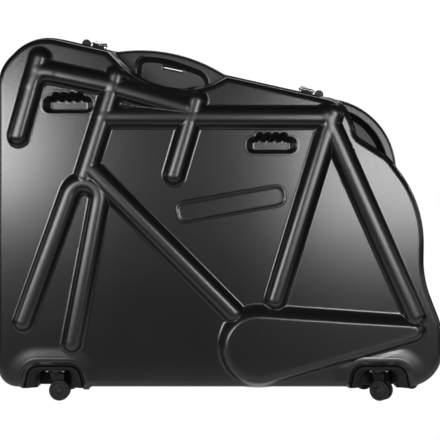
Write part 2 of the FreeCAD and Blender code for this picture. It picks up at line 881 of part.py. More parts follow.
for half, away in (("front", -1), ("rear", 1)):
    screw_groups = []
    for hand, centre_share in well_centre_shares.items():
        prefix = f"{half}_{hand}_caster"
        stem = Vector(centre_share * size("case_length"), away * size("caster_line"), 0)
        housing = housing_shape(stem.x)
        if half == "rear":
            housing = housing.mirror(Vector(0, 0, 0), Vector(0, 1, 0))
        shape_feature(prefix + "_housing", housing)
        still = Placement(stem, Rotation())
        swung = Placement(stem, Rotation(Vector(0, 0, 1), caster_turns[half, hand]))
        placed(caster_plate(prefix + "_plate"), prefix + "_plate", still)
        placed(caster_fork(prefix + "_fork"), prefix + "_fork", swung)
        hub = Placement(Vector(size("caster_trail"), 0, size("wheel_radius")), Rotation())
        axle_bar = round_bar(prefix + "_axle_bar", ("0", "-wheel_gap / 2 - wheel_width", "0"),
                             "axle_radius", "wheel_gap + 2 * wheel_width", "y")
        placed(group(prefix + "_axle", [axle_bar]), prefix + "_axle", swung.multiply(hub))
        placed(wheel_pair(prefix + "_wheels"), prefix + "_wheels", swung.multiply(hub))
        screws = caster_screws(prefix + "_screws")
        screws.Placement = still
        screw_groups.append(screws)
    keep(group(half + "_caster_screws", screw_groups), half + "_caster_screws")


# Bottom hinges

hinge_drop = "ground_clearance - knuckle_radius - moving_gap"
knuckle_share = {"front": [(-0.5, 0.3), (0.2, 0.3)], "rear": [(-0.2, 0.4)]}


def hinge_leaf(name, half):
    """Leaf screwed under a rim, with its share of the knuckles and room for those of the other leaf."""
    near = "-hinge_leaf_width" if half == "front" else "rim_parting / 2 + moving_gap"
    plate = block(name + "_plate", ("-hinge_length / 2", near, "ground_clearance - hinge_leaf_thickness"),
                  ("hinge_length", "hinge_leaf_width - rim_parting / 2 - moving_gap", "hinge_leaf_thickness"))
    knuckles, windows = [], []
    for number, (start, length) in enumerate(knuckle_share[half]):
        place = (f"hinge_length * {start} + moving_gap / 2", "0", hinge_drop)
        knuckles.append(round_bar(f"{name}_knuckle{number}", place, "knuckle_radius",
                                  f"hinge_length * {length} - moving_gap", "x"))
    other = "rear" if half == "front" else "front"
    for number, (start, length) in enumerate(knuckle_share[other]):
        place = (f"hinge_length * {start} - moving_gap", "-knuckle_radius - 2 * moving_gap", "0")
        lengths = (f"hinge_length * {length} + 2 * moving_gap", "2 * knuckle_radius + 4 * moving_gap",
                   "ground_clearance")
        windows.append(block(f"{name}_window{number}", place, lengths))
    bore = round_bar(name + "_bore", ("-hinge_length", "0", hinge_drop),
                     "hinge_pin_radius + running_clearance", "2 * hinge_length", "x")
    relieved = less(name + "_relieved", plate, windows)
    return less(name, joined(name + "_solid", [relieved, *knuckles]), [bore])


for hand, sign in (("left", -1), ("right", 1)):
    spot = Placement(Vector(sign * size("hinge_spacing") / 2, 0, 0), Rotation())
    for half in ("front", "rear"):
        placed(hinge_leaf(f"{hand}_hinge_{half}_leaf", half), f"{hand}_hinge_{half}_leaf", spot)
    pin_bar = round_bar(f"{hand}_hinge_pin_bar", ("-hinge_length / 2", "0", hinge_drop), "hinge_pin_radius",
                        "hinge_length", "x")
    placed(group(f"{hand}_hinge_pin", [pin_bar]), f"{hand}_hinge_pin", spot)


# Draw latches: x along the rim, y across the parting plane, z out of the rim


def latch_frame(name):
    """Place on the rim's outer face, turned so that z points outwards."""
    index, kind, share = latch_place_shares[name]
    arcs = rounded_corners(rim_outline)
    here, there = arcs[index], arcs[(index + 1) % len(arcs)]
    if kind == "line":
        x = here["end"][0] + share * (there["start"][0] - here["end"][0])
        z = here["end"][1] + share * (there["start"][1] - here["end"][1])
        heading = math.atan2(here["after"][1], here["after"][0])
    else:
        heading = math.atan2(here["after"][1], here["after"][0]) - here["turn"] * (1 - share)
        x = here["centre"][0] - here["radius"] * math.sin(heading)
        z = here["centre"][1] + here["radius"] * math.cos(heading)
    return Placement(Vector(x, 0, z), Rotation(Vector(0, 1, 0), -math.degrees(heading)))


def latch_parts(name, kind):
    """Base, lever, bail and keeper; kind is "top" for the tall latches and "side" for the low ones."""
    def own(text):
        return f"{kind}_latch_{text}"

    half_width = "latch_half_width"
    pivot_y, pivot_z = "latch_pivot_reach", own("pivot_rise")
    throw_y = "(latch_pivot_reach + latch_throw)"
    throw_z = f"({pivot_z} - {own('over_centre')})"
    pin, wire_radius = own("pin_radius"), own("wire_radius")

    floor = block(name + "_floor", ("-" + half_width, "rim_parting + moving_gap", "0"),
                  ("2 * " + half_width, throw_y, own("plate")))
    ears = []
    for number, edge in enumerate(("-" + half_width, half_width + " - latch_ear")):
        ears.append(block(f"{name}_ear{number}", (edge, f"{pivot_y} - 2 * {pin}", "0"),
                          ("latch_ear", f"4 * {pin}", f"{pivot_z} + 2 * {pin}")))
    bore = round_bar(name + "_pivot_bore", ("-2 * " + half_width, pivot_y, pivot_z),
                     pin + " + running_clearance", "4 * " + half_width, "x")
    base = less(name + "_base", joined(name + "_base_solid", [floor, *ears]), [bore])

    rise, thick = own("lever_rise"), own("lever_thickness")
    lug = f"2 * {wire_radius}"
    tail = "(latch_pivot_reach + latch_lever_length)"
    deck = f"({pivot_z} + {rise})"
    tip = f"{deck} + {thick} + {own('tab_rise')}"
    lever_plate = padded(name + "_lever_plate", "YZ_Plane", [
        (f"{pivot_y} - {rise}", f"{pivot_z} - {rise}"),
        (f"{throw_y} + {lug}", f"{throw_z} - {lug} * lever_lug_share"),
        (f"{throw_y} + {lug}", f"{deck} - {thick}"),
        (f"{tail} - {thick}", f"{deck} - {thick}"),
        (f"{tail} + {thick}", f"{deck} + {thick} / 2"),
        (f"{tail} + {thick}", tip),
        (tail, tip),
        (tail, f"{deck} + {thick}"),
        (f"{tail} - {thick}", deck),
        (f"{pivot_y} - {rise} / 2", deck),
        (f"{pivot_y} - {rise}", f"{deck} - {rise} / 2"),
    ], f"2 * ({half_width} - latch_ear - moving_gap)")
    pivot = round_bar(name + "_lever_pivot", ("-" + half_width, pivot_y, pivot_z), pin,
                      "2 * " + half_width, "x")
    wire_x = f"({half_width} + {wire_radius} + moving_gap)"
    pegs = round_bar(name + "_lever_pegs", ("-" + wire_x, throw_y, throw_z), wire_radius + " * peg_share",
                     "2 * " + wire_x, "x")
    lever = joined(name + "_lever", [lever_plate, pivot, pegs])

    arms = []
    for number, across in enumerate(("-" + wire_x, wire_x)):
        arms.append(round_bar(f"{name}_arm{number}", (across, "-latch_bail_reach", throw_z),
                              wire_radius + " * bail_arm_share",
                              f"{throw_y} + latch_bail_reach + {wire_radius} * bail_eye_share", "y"))
    cross = round_bar(name + "_cross", (f"-{wire_x} - {wire_radius}", "-latch_bail_reach", throw_z),
                      wire_radius, f"2 * {wire_x} + 2 * {wire_radius}", "x")
    eye = round_bar(name + "_eyes", ("-2 * " + wire_x, throw_y, throw_z),
                    wire_radius + " * peg_share + running_clearance", "4 * " + wire_x, "x")
    bail = less(name + "_bail", joined(name + "_bail_solid", [*arms, cross]), [eye])

    keeper_block = block(name + "_keeper_block", ("-keeper_half_width", "-keeper_length - moving_gap", "0"),
                         ("2 * keeper_half_width", "keeper_length", own("keeper_rise")))
    ridge = block(name + "_keeper_ridge", ("-keeper_half_width * keeper_ridge_share",
                                           "-latch_bail_reach + " + wire_radius, own("keeper_rise")),
                  ("2 * keeper_half_width * keeper_ridge_share", "keeper_ridge_width", own("keeper_ridge")))
    keeper = joined(name + "_keeper", [keeper_block, ridge])
    return {"base": base, "lever": lever, "bail": bail, "keeper": keeper}


for latch in latch_place_shares:
    for piece, obj in latch_parts(latch + "_latch", latch.split("_")[0]).items():
        placed(obj, f"{latch}_latch_{piece}", latch_frame(latch))

lock_front = "rim_parting + moving_gap"
for latch, beside in lock_sides.items():
    name = latch + "_lock"
    drum = round_bar(name + "_drum", (beside, lock_front, "lock_rise"), "lock_radius", "lock_length", "y")
    buried = block(name + "_buried", (beside + " - 2 * lock_radius", "0", "-4 * lock_radius"),
                   ("4 * lock_radius", "2 * lock_length", "4 * lock_radius"))
    bore = round_bar(name + "_bore", (beside, "0", "lock_rise"), "lock_core_radius + running_clearance",
                     "lock_length * lock_bore_share", "y")
    placed(less(name + "_barrel", drum, [buried, bore]), name + "_barrel", latch_frame(latch))
    core_bar = round_bar(name + "_core_bar", (beside, lock_front, "lock_rise"), "lock_core_radius",
                         "lock_length * lock_core_share", "y")
    placed(group(name + "_core", [core_bar]), name + "_core", latch_frame(latch))


# Soft fittings inside


def foam_shape():
    """Foam pad on the inner face of the front panel, with windows for the finger pockets."""
    back = -(size("shell_depth") - size("shell_wall") - size("seat_clearance"))
    face = back + size("foam_thickness")
    insets = [size("rim_ledge") + size(draft) + size("foam_margin") for draft in deep_drafts]
    insets[-1] = size("foam_floor") - size("ground_clearance")
    pad = prism(inset(deep_outline, insets), back, face)
    margin = size("shell_wall") + 3 * size("seat_clearance")
    half = size("finger_pocket_width") / 2 + margin
    tall = size("finger_pocket_height") + size("finger_radius") + 2 * margin
    windows = []
    for shares in finger_pocket_shares:
        x, z = place_share(*shares)
        windows.append(Part.makeBox(2 * half, size("foam_thickness") * 2, tall,
                                    Vector(x - half, back - size("foam_thickness") / 2, z - margin)))
    return pad.cut(windows)


front_foam = shape_feature("front_foam_pad", foam_shape())
mirrored(front_foam, "rear_foam_pad")

foam_face = "shell_depth - shell_wall - seat_clearance - foam_thickness"
strap_back = foam_face + " - seat_clearance"
strap_face = strap_back + " - strap_thickness"
strap_middle = "ground_clearance + shell_height * strap_middle_share"
buckles, anchors = [], []
for hand, share in strap_place_shares.items():
    x = f"case_length * {share}"
    strap = block(f"rear_{hand}_strap_band", (x + " - strap_width / 2", strap_face,
                                              strap_middle + " - strap_length / 2"),
                  ("strap_width", "strap_thickness", "strap_length"))
    keep(group(f"rear_{hand}_strap", [strap]), f"rear_{hand}_strap")
    buckle = block(f"rear_{hand}_buckle_plate",
                   (x + " - buckle_width / 2", strap_face + " - buckle_thickness",
                    strap_middle + " - buckle_length / 2"),
                   ("buckle_width", "buckle_thickness", "buckle_length"))
    slots = []
    for number, offset in enumerate((" - buckle_slot_offset", " + buckle_slot_offset")):
        slots.append(block(f"rear_{hand}_buckle_slot{number}",
                           (x + " - buckle_slot_width / 2", strap_face + " - 2 * buckle_thickness",
                            strap_middle + offset + " - buckle_slot_height / 2"),
                           ("buckle_slot_width", "2 * buckle_thickness", "buckle_slot_height")))
    buckles.append(less(f"rear_{hand}_buckle", buckle, slots))
    for number, end in enumerate((" - strap_length / 2", " + strap_length / 2")):
        plate = block(f"rear_{hand}_anchor_plate{number}",
                      (x + " - anchor_width / 2", strap_face + " - anchor_thickness",
                       strap_middle + end + " - anchor_length / 2"),
                      ("anchor_width", "anchor_thickness", "anchor_length"))
        rivets = []
        for row, across in enumerate((" - rivet_pitch / 2", " + rivet_pitch / 2")):
            place = (x + across, strap_face + " - anchor_thickness - rivet_rise", strap_middle + end)
            rivets.append(round_bar(f"rear_{hand}_rivet{number}{row}", place, "rivet_radius",
                                    "rivet_rise + anchor_thickness / 2", "y"))
        anchors.append(joined(f"rear_{hand}_anchor{number}", [plate, *rivets]))
keep(group("strap_buckles", buckles), "strap_buckles")
keep(group("strap_anchors", anchors), "strap_anchors")

doc.recompute()

faults = [obj.Name for obj in doc.Objects if "Invalid" in obj.State or "Error" in obj.State]
for node in nodes:
    shape = node.Shape
    if shape.isNull() or not shape.isValid():
        faults.append(node.Label)
if faults:
    raise RuntimeError("not sound: " + ", ".join(faults))

os.makedirs("parts", exist_ok=True)
for node in nodes:
    node.Shape.exportStep(f"parts/{node.Label}.step")
print(len(nodes), "nodes")
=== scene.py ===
import json
import math

import bmesh
import bpy
import numpy as np
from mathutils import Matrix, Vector


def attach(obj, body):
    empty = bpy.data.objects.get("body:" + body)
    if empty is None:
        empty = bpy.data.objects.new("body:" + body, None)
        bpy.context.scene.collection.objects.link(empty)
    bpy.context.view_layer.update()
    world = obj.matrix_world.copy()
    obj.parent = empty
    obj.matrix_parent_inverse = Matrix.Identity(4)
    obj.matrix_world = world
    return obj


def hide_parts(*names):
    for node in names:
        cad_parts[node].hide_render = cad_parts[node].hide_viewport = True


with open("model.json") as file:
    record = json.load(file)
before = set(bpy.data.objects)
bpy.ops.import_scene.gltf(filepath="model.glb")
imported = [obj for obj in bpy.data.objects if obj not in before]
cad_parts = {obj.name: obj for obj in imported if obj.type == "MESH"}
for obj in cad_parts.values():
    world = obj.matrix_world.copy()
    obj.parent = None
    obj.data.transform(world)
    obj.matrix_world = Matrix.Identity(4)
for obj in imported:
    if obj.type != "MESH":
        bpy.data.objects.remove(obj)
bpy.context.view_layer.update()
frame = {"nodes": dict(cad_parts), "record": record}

# Looks of the bike travel case. Shapes are worked out in millimetres and put into meshes in metres.
# x runs along the case, z up, and the shells meet in the plane y = 0 with the front shell on the -y side.

METRES = 0.001

LENGTH = 1180
HEIGHT = 924
GROUND = 30
DEPTH = 165
WALL = 4
LEDGE = 3
RIM_DEPTH = 12
EDGE_RADIUS = 14
SIDE_DRAFT = 17
DIP_DRAFT = 16
BOTTOM_DRAFT = 8
SIGN = {"front": -1, "rear": 1}

HOME = {node: body for body, nodes in frame["record"]["behaviour"]["bodies"].items() for node in nodes}


# Outlines in the x-z plane


def spot(shares):
    """Point from its shares of the case's length and height."""
    shares = np.asarray(shares, float)
    place = shares[..., :2] * (LENGTH, HEIGHT) + (0, GROUND)
    return np.concatenate([place, shares[..., 2:] * LENGTH], axis=-1)


RIM_CORNERS = spot([
    (-0.5, 0.0, 0.056), (-0.5, 0.9042, 0.1049), (-0.4238, 1.0006, 0.1094), (-0.3643, 1.0, 0.114),
    (-0.2335, 0.9619, 0.0322), (-0.1035, 0.9802, 0.355), (0.0093, 0.8963, 0.0229), (0.3866, 0.7887, 0.166),
    (0.3981, 0.6279, 0.0136), (0.4593, 0.5211, 0.27), (0.4573, 0.3121, 0.2144), (0.5013, 0.1666, 0.1644),
    (0.4975, 0.0, 0.0915)])


def on_edge(index, share, radius):
    """Corner on the line from one rim corner to the next."""
    here, there = RIM_CORNERS[index], RIM_CORNERS[index + 1]
    return np.append(here[:2] + share * (there[:2] - here[:2]), radius * LENGTH)


DEEP_CORNERS = np.array([
    *RIM_CORNERS[:4], on_edge(3, 0.975, 0.0136), spot((-0.1176, 0.8035, 0.1686)), on_edge(6, 0.012, 0.0169),
    on_edge(6, 0.752, 0.0957), spot((0.3087, 0.7197, 0.0093)), on_edge(8, -0.33, 0.0915), *RIM_CORNERS[9:]])
DEEP_DRAFTS = np.array([SIDE_DRAFT] * 4 + [DIP_DRAFT] * 2 + [SIDE_DRAFT] + [DIP_DRAFT] * 2
                       + [SIDE_DRAFT] * 4 + [BOTTOM_DRAFT])


def cross(a, b):
    """Cross product of plane vectors."""
    return a[..., 0] * b[..., 1] - a[..., 1] * b[..., 0]


def edge_directions(corners):
    """Unit direction of the edge after each corner and of the one before it."""
    step = np.roll(corners[:, :2], -1, axis=0) - corners[:, :2]
    length = np.hypot(step[:, 0], step[:, 1])
    after = step / length[:, None]
    return np.roll(after, 1, axis=0), after, length


def inset(corners, distance):
    """Clockwise outline with each edge moved inwards by its own distance; corner radii shrink or grow with it."""
    before, after, _ = edge_directions(corners)
    second = np.broadcast_to(np.asarray(distance, float), len(corners))
    first = np.roll(second, 1)
    turn = cross(before, after)
    step = (after * first[:, None] - before * second[:, None]) / turn[:, None]
    radius = np.maximum(corners[:, 2] + np.sign(turn) * (first + second) / 2, 2)
    return np.column_stack([corners[:, :2] - step, radius])


def rounded_parts(corners):
    """Start, centre, turn and end of every corner arc, each arc tangent to the two edges that meet there."""
    before, after, length = edge_directions(corners)
    turn = np.arctan2(cross(before, after), (before * after).sum(1))
    slope = np.tan(np.abs(turn) / 2)
    reach = corners[:, 2] * slope
    share = np.minimum(1, 0.98 * length / (reach + np.roll(reach, -1)))
    reach = reach * np.minimum(share, np.roll(share, 1))
    radius = reach / slope
    start = corners[:, :2] - reach[:, None] * before
    end = corners[:, :2] + reach[:, None] * after
    side = np.sign(turn)
    centre = start + (side * radius)[:, None] * np.column_stack([-before[:, 1], before[:, 0]])
    return start, centre, turn, end


def along(corners, places):
    """Points on a rounded outline. A place is a corner's number plus a share: first its arc, then its line."""
    start, centre, turn, end = rounded_parts(corners)
    index = np.floor(places).astype(int) % len(corners)
    share = (places - np.floor(places)) * 2
    angle = turn[index] * np.minimum(share, 1)
    arm = start[index] - centre[index]
    turned = np.column_stack([arm[:, 0] * np.cos(angle) - arm[:, 1] * np.sin(angle),
                              arm[:, 0] * np.sin(angle) + arm[:, 1] * np.cos(angle)])
    late = np.maximum(share - 1, 0)[:, None]
    straight = end[index] * (1 - late) + np.roll(start, -1, axis=0)[index] * late
    return np.where((share < 1)[:, None], centre[index] + turned, straight)


def even_places(corners, first, last, count):
    """Places from one to another, evenly spaced by length along the rounded outline."""
    fine = np.linspace(first, last, 6000)
    points = along(corners, fine)
    run = np.concatenate([[0], np.cumsum(np.hypot(*np.diff(points, axis=0).T))])
    return np.interp(np.linspace(0, run[-1], count), run, fine)


def loop(corners, count=400):
    """Evenly spaced points round a rounded outline."""
    return along(corners, even_places(corners, 0, len(corners), count + 1)[:-1])


def tray(left, low, right, high, radius):
    """Corners of a rounded rectangle, clockwise."""
    return np.array([(left, low, radius), (left, high, radius), (right, high, radius), (right, low, radius)], float)


def turned(x, z, degrees, place):
    """Points turned about the origin in the x-z plane and moved to a place."""
    cos, sin = math.cos(math.radians(degrees)), math.sin(math.radians(degrees))
    return place[0] + x * cos - z * sin, place[1] + x * sin + z * cos


def away(x, z, a):
    """Signed distance from a closed polyline: negative inside."""
    b = np.roll(a, -1, axis=0)
    result = np.empty(x.size)
    flat = np.column_stack([x.ravel(), z.ravel()])
    for chunk in np.array_split(np.arange(len(flat)), max(1, len(flat) // 12000)):
        p = flat[chunk, None, :]
        edge = b - a
        share = np.clip(((p - a) * edge).sum(-1) / (edge ** 2).sum(-1), 0, 1)
        gap = p - a - share[..., None] * edge
        near = np.sqrt((gap ** 2).sum(-1).min(1))
        over = (a[:, 1] > p[..., 1]) != (b[:, 1] > p[..., 1])
        with np.errstate(divide="ignore", invalid="ignore"):
            crossing = p[..., 0] < a[:, 0] + (p[..., 1] - a[:, 1]) * edge[:, 0] / edge[:, 1]
        inside = (over & crossing).sum(1) % 2 == 1
        result[chunk] = np.where(inside, -near, near)
    return result.reshape(x.shape)


# Meshes


def grid_faces(rows, columns, closed=False, flip=False):
    """Quads of a grid whose points are numbered row by row."""
    last = columns if closed else columns - 1
    row, column = np.meshgrid(np.arange(rows - 1), np.arange(last), indexing="ij")
    beside = (column + 1) % columns
    quads = np.stack([row * columns + column, row * columns + beside,
                      (row + 1) * columns + beside, (row + 1) * columns + column], axis=-1).reshape(-1, 4)
    return quads[:, ::-1] if flip else quads


def capped_faces(rows, count):
    """Quads of a tube whose rows are closed loops of an even count, with strips across both of its ends."""
    step = np.arange(count // 2 - 1)
    cap = np.column_stack([step, step + 1, count - 2 - step, count - 1 - step])
    return np.concatenate([grid_faces(rows, count, closed=True), cap, cap + (rows - 1) * count])


def linked(name, data):
    """New object in the scene."""
    result = bpy.data.objects.new(name, data)
    bpy.context.scene.collection.objects.link(result)
    return result


def placed(name, mesh, finish, body, replaces):
    """Object with a finish that rides on a body and stands for solids."""
    mesh.materials.append(finish)
    result = linked(name, mesh)
    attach(result, body)
    if replaces:
        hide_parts(*replaces)
    return result


def piece(name, points, faces, finish, body, slot, replaces=(), weld=0.0, crest=None, sharp=None, solid=False,
          lean=None):
    """Mesh object from points in millimetres; it rides on a body and takes the finish it is given."""
    used, faces = np.unique(np.asarray(faces), return_inverse=True)
    faces = faces.reshape(-1, 4)
    mesh = bpy.data.meshes.new(name)
    points = np.asarray(points, float).reshape(-1, 3)[used] * METRES
    mesh.vertices.add(len(points))
    mesh.vertices.foreach_set("co", points.ravel())
    mesh.loops.add(faces.size)
    mesh.loops.foreach_set("vertex_index", faces.ravel())
    mesh.polygons.add(len(faces))
    mesh.polygons.foreach_set("loop_start", np.arange(0, faces.size, 4))
    if crest is not None:
        values = np.asarray(crest, float).ravel()[used]
        mesh.attributes.new("crest", "FLOAT", "POINT").data.foreach_set("value", values)
    if lean is not None:
        values = lean.reshape(-1, 3)[used]
        mesh.attributes.new("lean", "FLOAT_VECTOR", "POINT").data.foreach_set("vector", values.ravel())
    mesh.update(calc_edges=True)
    if weld or solid:
        work = bmesh.new()
        work.from_mesh(mesh)
        bmesh.ops.remove_doubles(work, verts=work.verts, dist=weld * METRES)
        bmesh.ops.dissolve_degenerate(work, edges=work.edges, dist=weld * METRES / 2)
        if solid:
            bmesh.ops.recalc_face_normals(work, faces=work.faces)
        work.to_mesh(mesh)
        work.free()
    mesh.validate()
    mesh.polygons.foreach_set("use_smooth", np.ones(len(mesh.polygons), bool))
    if sharp:
        mesh.set_sharp_from_angle(angle=math.radians(sharp))
    if lean is not None:
        values = np.empty(len(mesh.vertices) * 3)
        mesh.attributes["lean"].data.foreach_get("vector", values)
        mesh.attributes.remove(mesh.attributes["lean"])
        mesh.normals_split_custom_set_from_vertices(values.reshape(-1, 3))
    return placed(name, mesh, finish, body, replaces)


def half_faces(points, half, closed=False):
    """Quads of a half shell's grid, facing out of that half."""
    return grid_faces(*points.shape[:2], closed=closed, flip=half == "front")


def shell_piece(name, half, points, faces, finish=None, **extra):
    """Piece of a half shell."""
    return piece(name, points, faces, finish or SHELL, half + "_half", "shell_abs", **extra)


def thickened(result, thickness, rim=True):
    """Wall thickness behind a surface; a border that lies under another surface needs no rim."""
    solid = result.modifiers.new("wall", "SOLIDIFY")
    solid.thickness = thickness * METRES
    solid.offset = -1
    solid.use_rim = rim
    return result


def softened(node_name, finish, width):
    """Merged copy of a solid with its hard edges rounded to a width in millimetres; it stands for the solid."""
    source = frame["nodes"][node_name]
    mesh = source.data.copy()
    mesh.transform(source.matrix_world)
    work = bmesh.new()
    work.from_mesh(mesh)
    bmesh.ops.remove_doubles(work, verts=work.verts, dist=0.005 * METRES)
    bmesh.ops.dissolve_limit(work, angle_limit=math.radians(0.5), verts=work.verts, edges=work.edges)
    work.to_mesh(mesh)
    work.free()
    mesh.polygons.foreach_set("use_smooth", np.ones(len(mesh.polygons), bool))
    mesh.set_sharp_from_angle(angle=math.radians(35))
    mesh.materials.clear()
    result = placed(node_name + "_rounded", mesh, finish, HOME[node_name], (node_name,))
    if width:
        bevel = result.modifiers.new("rounded_edges", "BEVEL")
        bevel.width = width * METRES
        bevel.segments = 2
        bevel.limit_method = "ANGLE"
        bevel.angle_limit = math.radians(40)
        bevel.harden_normals = True
    return result


# Finishes


class Thread:
    """A shader socket that takes part in arithmetic; each operation adds a Math node."""

    def __init__(self, finish, socket):
        self.finish = finish
        self.socket = socket

    def __add__(self, other):
        return self.finish.math("ADD", self, other)

    def __radd__(self, other):
        return self.finish.math("ADD", other, self)

    def __mul__(self, other):
        return self.finish.math("MULTIPLY", self, other)


class Finish:
    """A procedural material on Object coordinates."""

    def __init__(self, name):
        self.material = bpy.data.materials.new(name)
        self.material.use_nodes = True
        self.tree = self.material.node_tree
        self.tree.nodes.clear()
        self.place = self.node("ShaderNodeTexCoord", output="Object")

    def node(self, kind, settings=None, inputs=None, output=0):
        """Any node: its type, its settings, the values or links of its sockets, and which output is used."""
        node = self.tree.nodes.new(kind)
        for key, value in (settings or {}).items():
            setattr(node, key, value)
        for key, value in (inputs or {}).items():
            if isinstance(value, Thread):
                self.tree.links.new(value.socket, node.inputs[key])
            else:
                node.inputs[key].default_value = value
        return Thread(self, node.outputs[output]) if node.outputs else None

    def math(self, operation, *values):
        return self.node("ShaderNodeMath", {"operation": operation}, dict(enumerate(values)))

    def noise(self, scale, detail=2.0, roughness=0.5, stretch=(1, 1, 1)):
        """Noise by size in metres: scale is the number of waves in a metre."""
        place = self.node("ShaderNodeMapping", inputs={"Vector": self.place, "Scale": stretch})
        return self.node("ShaderNodeTexNoise", inputs={
            "Vector": place, "Scale": scale, "Detail": detail, "Roughness": roughness}, output="Fac")

    def cells(self, scale):
        """Rounded grain: distance to the nearest of scattered points."""
        return self.node("ShaderNodeTexVoronoi", {"feature": "F1"},
                         {"Vector": self.place, "Scale": scale}, output="Distance")

    def ramp(self, value, low, high):
        """0 below low, 1 above high."""
        return self.node("ShaderNodeMapRange", {"clamp": True}, {
            "Value": value, "From Min": low, "From Max": high}, output="Result")

    def blend(self, share, first, second):
        """Mix of two colours."""
        return self.node("ShaderNodeMix", {"data_type": "RGBA"}, {
            0: share, 6: (*first, 1) if isinstance(first, tuple) else first,
            7: (*second, 1) if isinstance(second, tuple) else second}, output=2)

    def bump(self, height, distance, strength):
        """Normal tilted by a height; the distance is in metres."""
        return self.node("ShaderNodeBump", inputs={
            "Height": height, "Distance": distance, "Strength": strength}, output="Normal")

    def surface(self, colour, roughness, normal, metallic=0.0, level=0.5, sheen=0.0):
        """Principled shader, put out as the finished material."""
        shader = self.node("ShaderNodeBsdfPrincipled", inputs={
            "Base Color": colour, "Roughness": roughness, "Normal": normal, "Metallic": metallic,
            "Specular IOR Level": level, "Sheen Weight": sheen})
        self.node("ShaderNodeOutputMaterial", inputs={"Surface": shader})
        return self.material


def shell_finish():
    """Satin black thermoformed sheet: haircell grain, faint cloudiness, crests rubbed paler, recesses duller."""
    f = Finish("satin_black_sheet")
    crest = f.node("ShaderNodeAttribute", {"attribute_name": "crest"}, output="Fac")
    recess = f.ramp(crest, 0.0, -1.0)
    scuffs = f.ramp(f.noise(38, 6, 0.65, (1, 1, 2.5)), 0.56, 0.74)
    rubbed = f.ramp(crest * scuffs, 0.0, 1.0)
    cloud = f.noise(5, 3)
    grain = f.cells(620) * 0.6 + f.noise(1500, 2) * 0.4
    colour = f.blend(cloud, (0.0042, 0.0042, 0.0044), (0.0075, 0.0075, 0.0078))
    colour = f.blend(rubbed * 0.06, colour, (0.045, 0.045, 0.046))
    roughness = 0.19 + cloud * 0.03 + f.noise(420, 2) * 0.03 + f.ramp(crest, 0.0, 1.0) * 0.07 + recess * 0.26
    return f.surface(colour, roughness, f.bump(grain, 0.00016, 0.28))


def smooth_sheet_finish():
    """The same sheet pressed smooth: inner face and pocket walls."""
    f = Finish("black_sheet_inner")
    cloud = f.noise(7, 3)
    colour = f.blend(cloud, (0.010, 0.010, 0.0105), (0.017, 0.017, 0.0175))
    roughness = 0.42 + cloud * 0.08 + f.noise(300, 2) * 0.05
    return f.surface(colour, roughness, f.bump(f.noise(900, 2), 0.0001, 0.2))


def rim_finish():
    """Extruded rim profile: drawn lines along it and a dull black skin."""
    f = Finish("extruded_black_rim")
    lines = f.noise(700, 3, 0.6, (0.05, 1, 0.05))
    colour = f.blend(lines, (0.006, 0.006, 0.0065), (0.014, 0.014, 0.0145))
    roughness = 0.38 + lines * 0.16
    return f.surface(colour, roughness, f.bump(lines, 0.00008, 0.3))


def moulded_finish(name, dark, pale, base_roughness, grain_scale, level=0.5):
    """Injection moulded black plastic with a spark-eroded grain."""
    f = Finish(name)
    cloud = f.noise(14, 3)
    grain = f.noise(grain_scale, 3, 0.6)
    colour = f.blend(cloud, dark, pale)
    roughness = base_roughness + grain * 0.14
    return f.surface(colour, roughness, f.bump(grain, 0.00012, 0.35), level=level)


def rubber_finish(name, shade, dust):
    """Dull rubber, dusty where it rolls."""
    f = Finish(name)
    dusty = f.ramp(f.noise(120, 5, 0.65), 0.45, 0.8)
    colour = f.blend(dusty * 0.6, (shade, shade, shade), (dust, dust * 0.98, dust * 0.94))
    roughness = 0.55 + dusty * 0.25
    return f.surface(colour, roughness, f.bump(f.noise(1100, 2), 0.0001, 0.4), level=0.2)


def metal_finish(name, colour, base_roughness, lines):
    """Plated metal: faint drawn lines, fingerprints and dulled patches."""
    f = Finish(name)
    drawn = f.noise(lines, 2, 0.5, (0.08, 1, 1))
    dull = f.ramp(f.noise(60, 4, 0.6), 0.45, 0.75)
    tone = f.blend(dull, colour, tuple(value * 0.86 for value in colour))
    roughness = base_roughness + dull * 0.1 + drawn * 0.06
    return f.surface(tone, roughness, f.bump(drawn, 0.00004, 0.25), metallic=1.0)


def foam_finish():
    """Charcoal open-cell foam."""
    f = Finish("charcoal_foam")
    pores = f.cells(520)
    cloud = f.noise(18, 4)
    colour = f.blend(pores, (0.018, 0.018, 0.019), (0.055, 0.055, 0.058))
    colour = f.blend(cloud * 0.4, colour, (0.075, 0.075, 0.08))
    return f.surface(colour, 0.9 + pores * 0.05, f.bump(pores, 0.0009, 0.7), sheen=0.15)


def webbing_finish():
    """Woven webbing: ribs across and a twill along, from the strap's own map."""
    f = Finish("black_webbing")
    chart = f.node("ShaderNodeUVMap", {"uv_map": "weave"}, output="UV")
    warp, weft = (
        f.node("ShaderNodeTexWave", {"wave_type": "BANDS", "bands_direction": way, "wave_profile": "SIN"},
               {"Vector": chart, "Scale": 9.0, "Distortion": 0.0}, output="Fac") for way in ("X", "DIAGONAL"))
    weave = warp * 0.5 + weft * 0.5
    fuzz = f.noise(900, 3)
    colour = f.blend(weave, (0.010, 0.010, 0.011), (0.034, 0.034, 0.036))
    return f.surface(colour, 0.7 + fuzz * 0.15, f.bump(weave + fuzz * 0.3, 0.0005, 0.8), sheen=0.2)


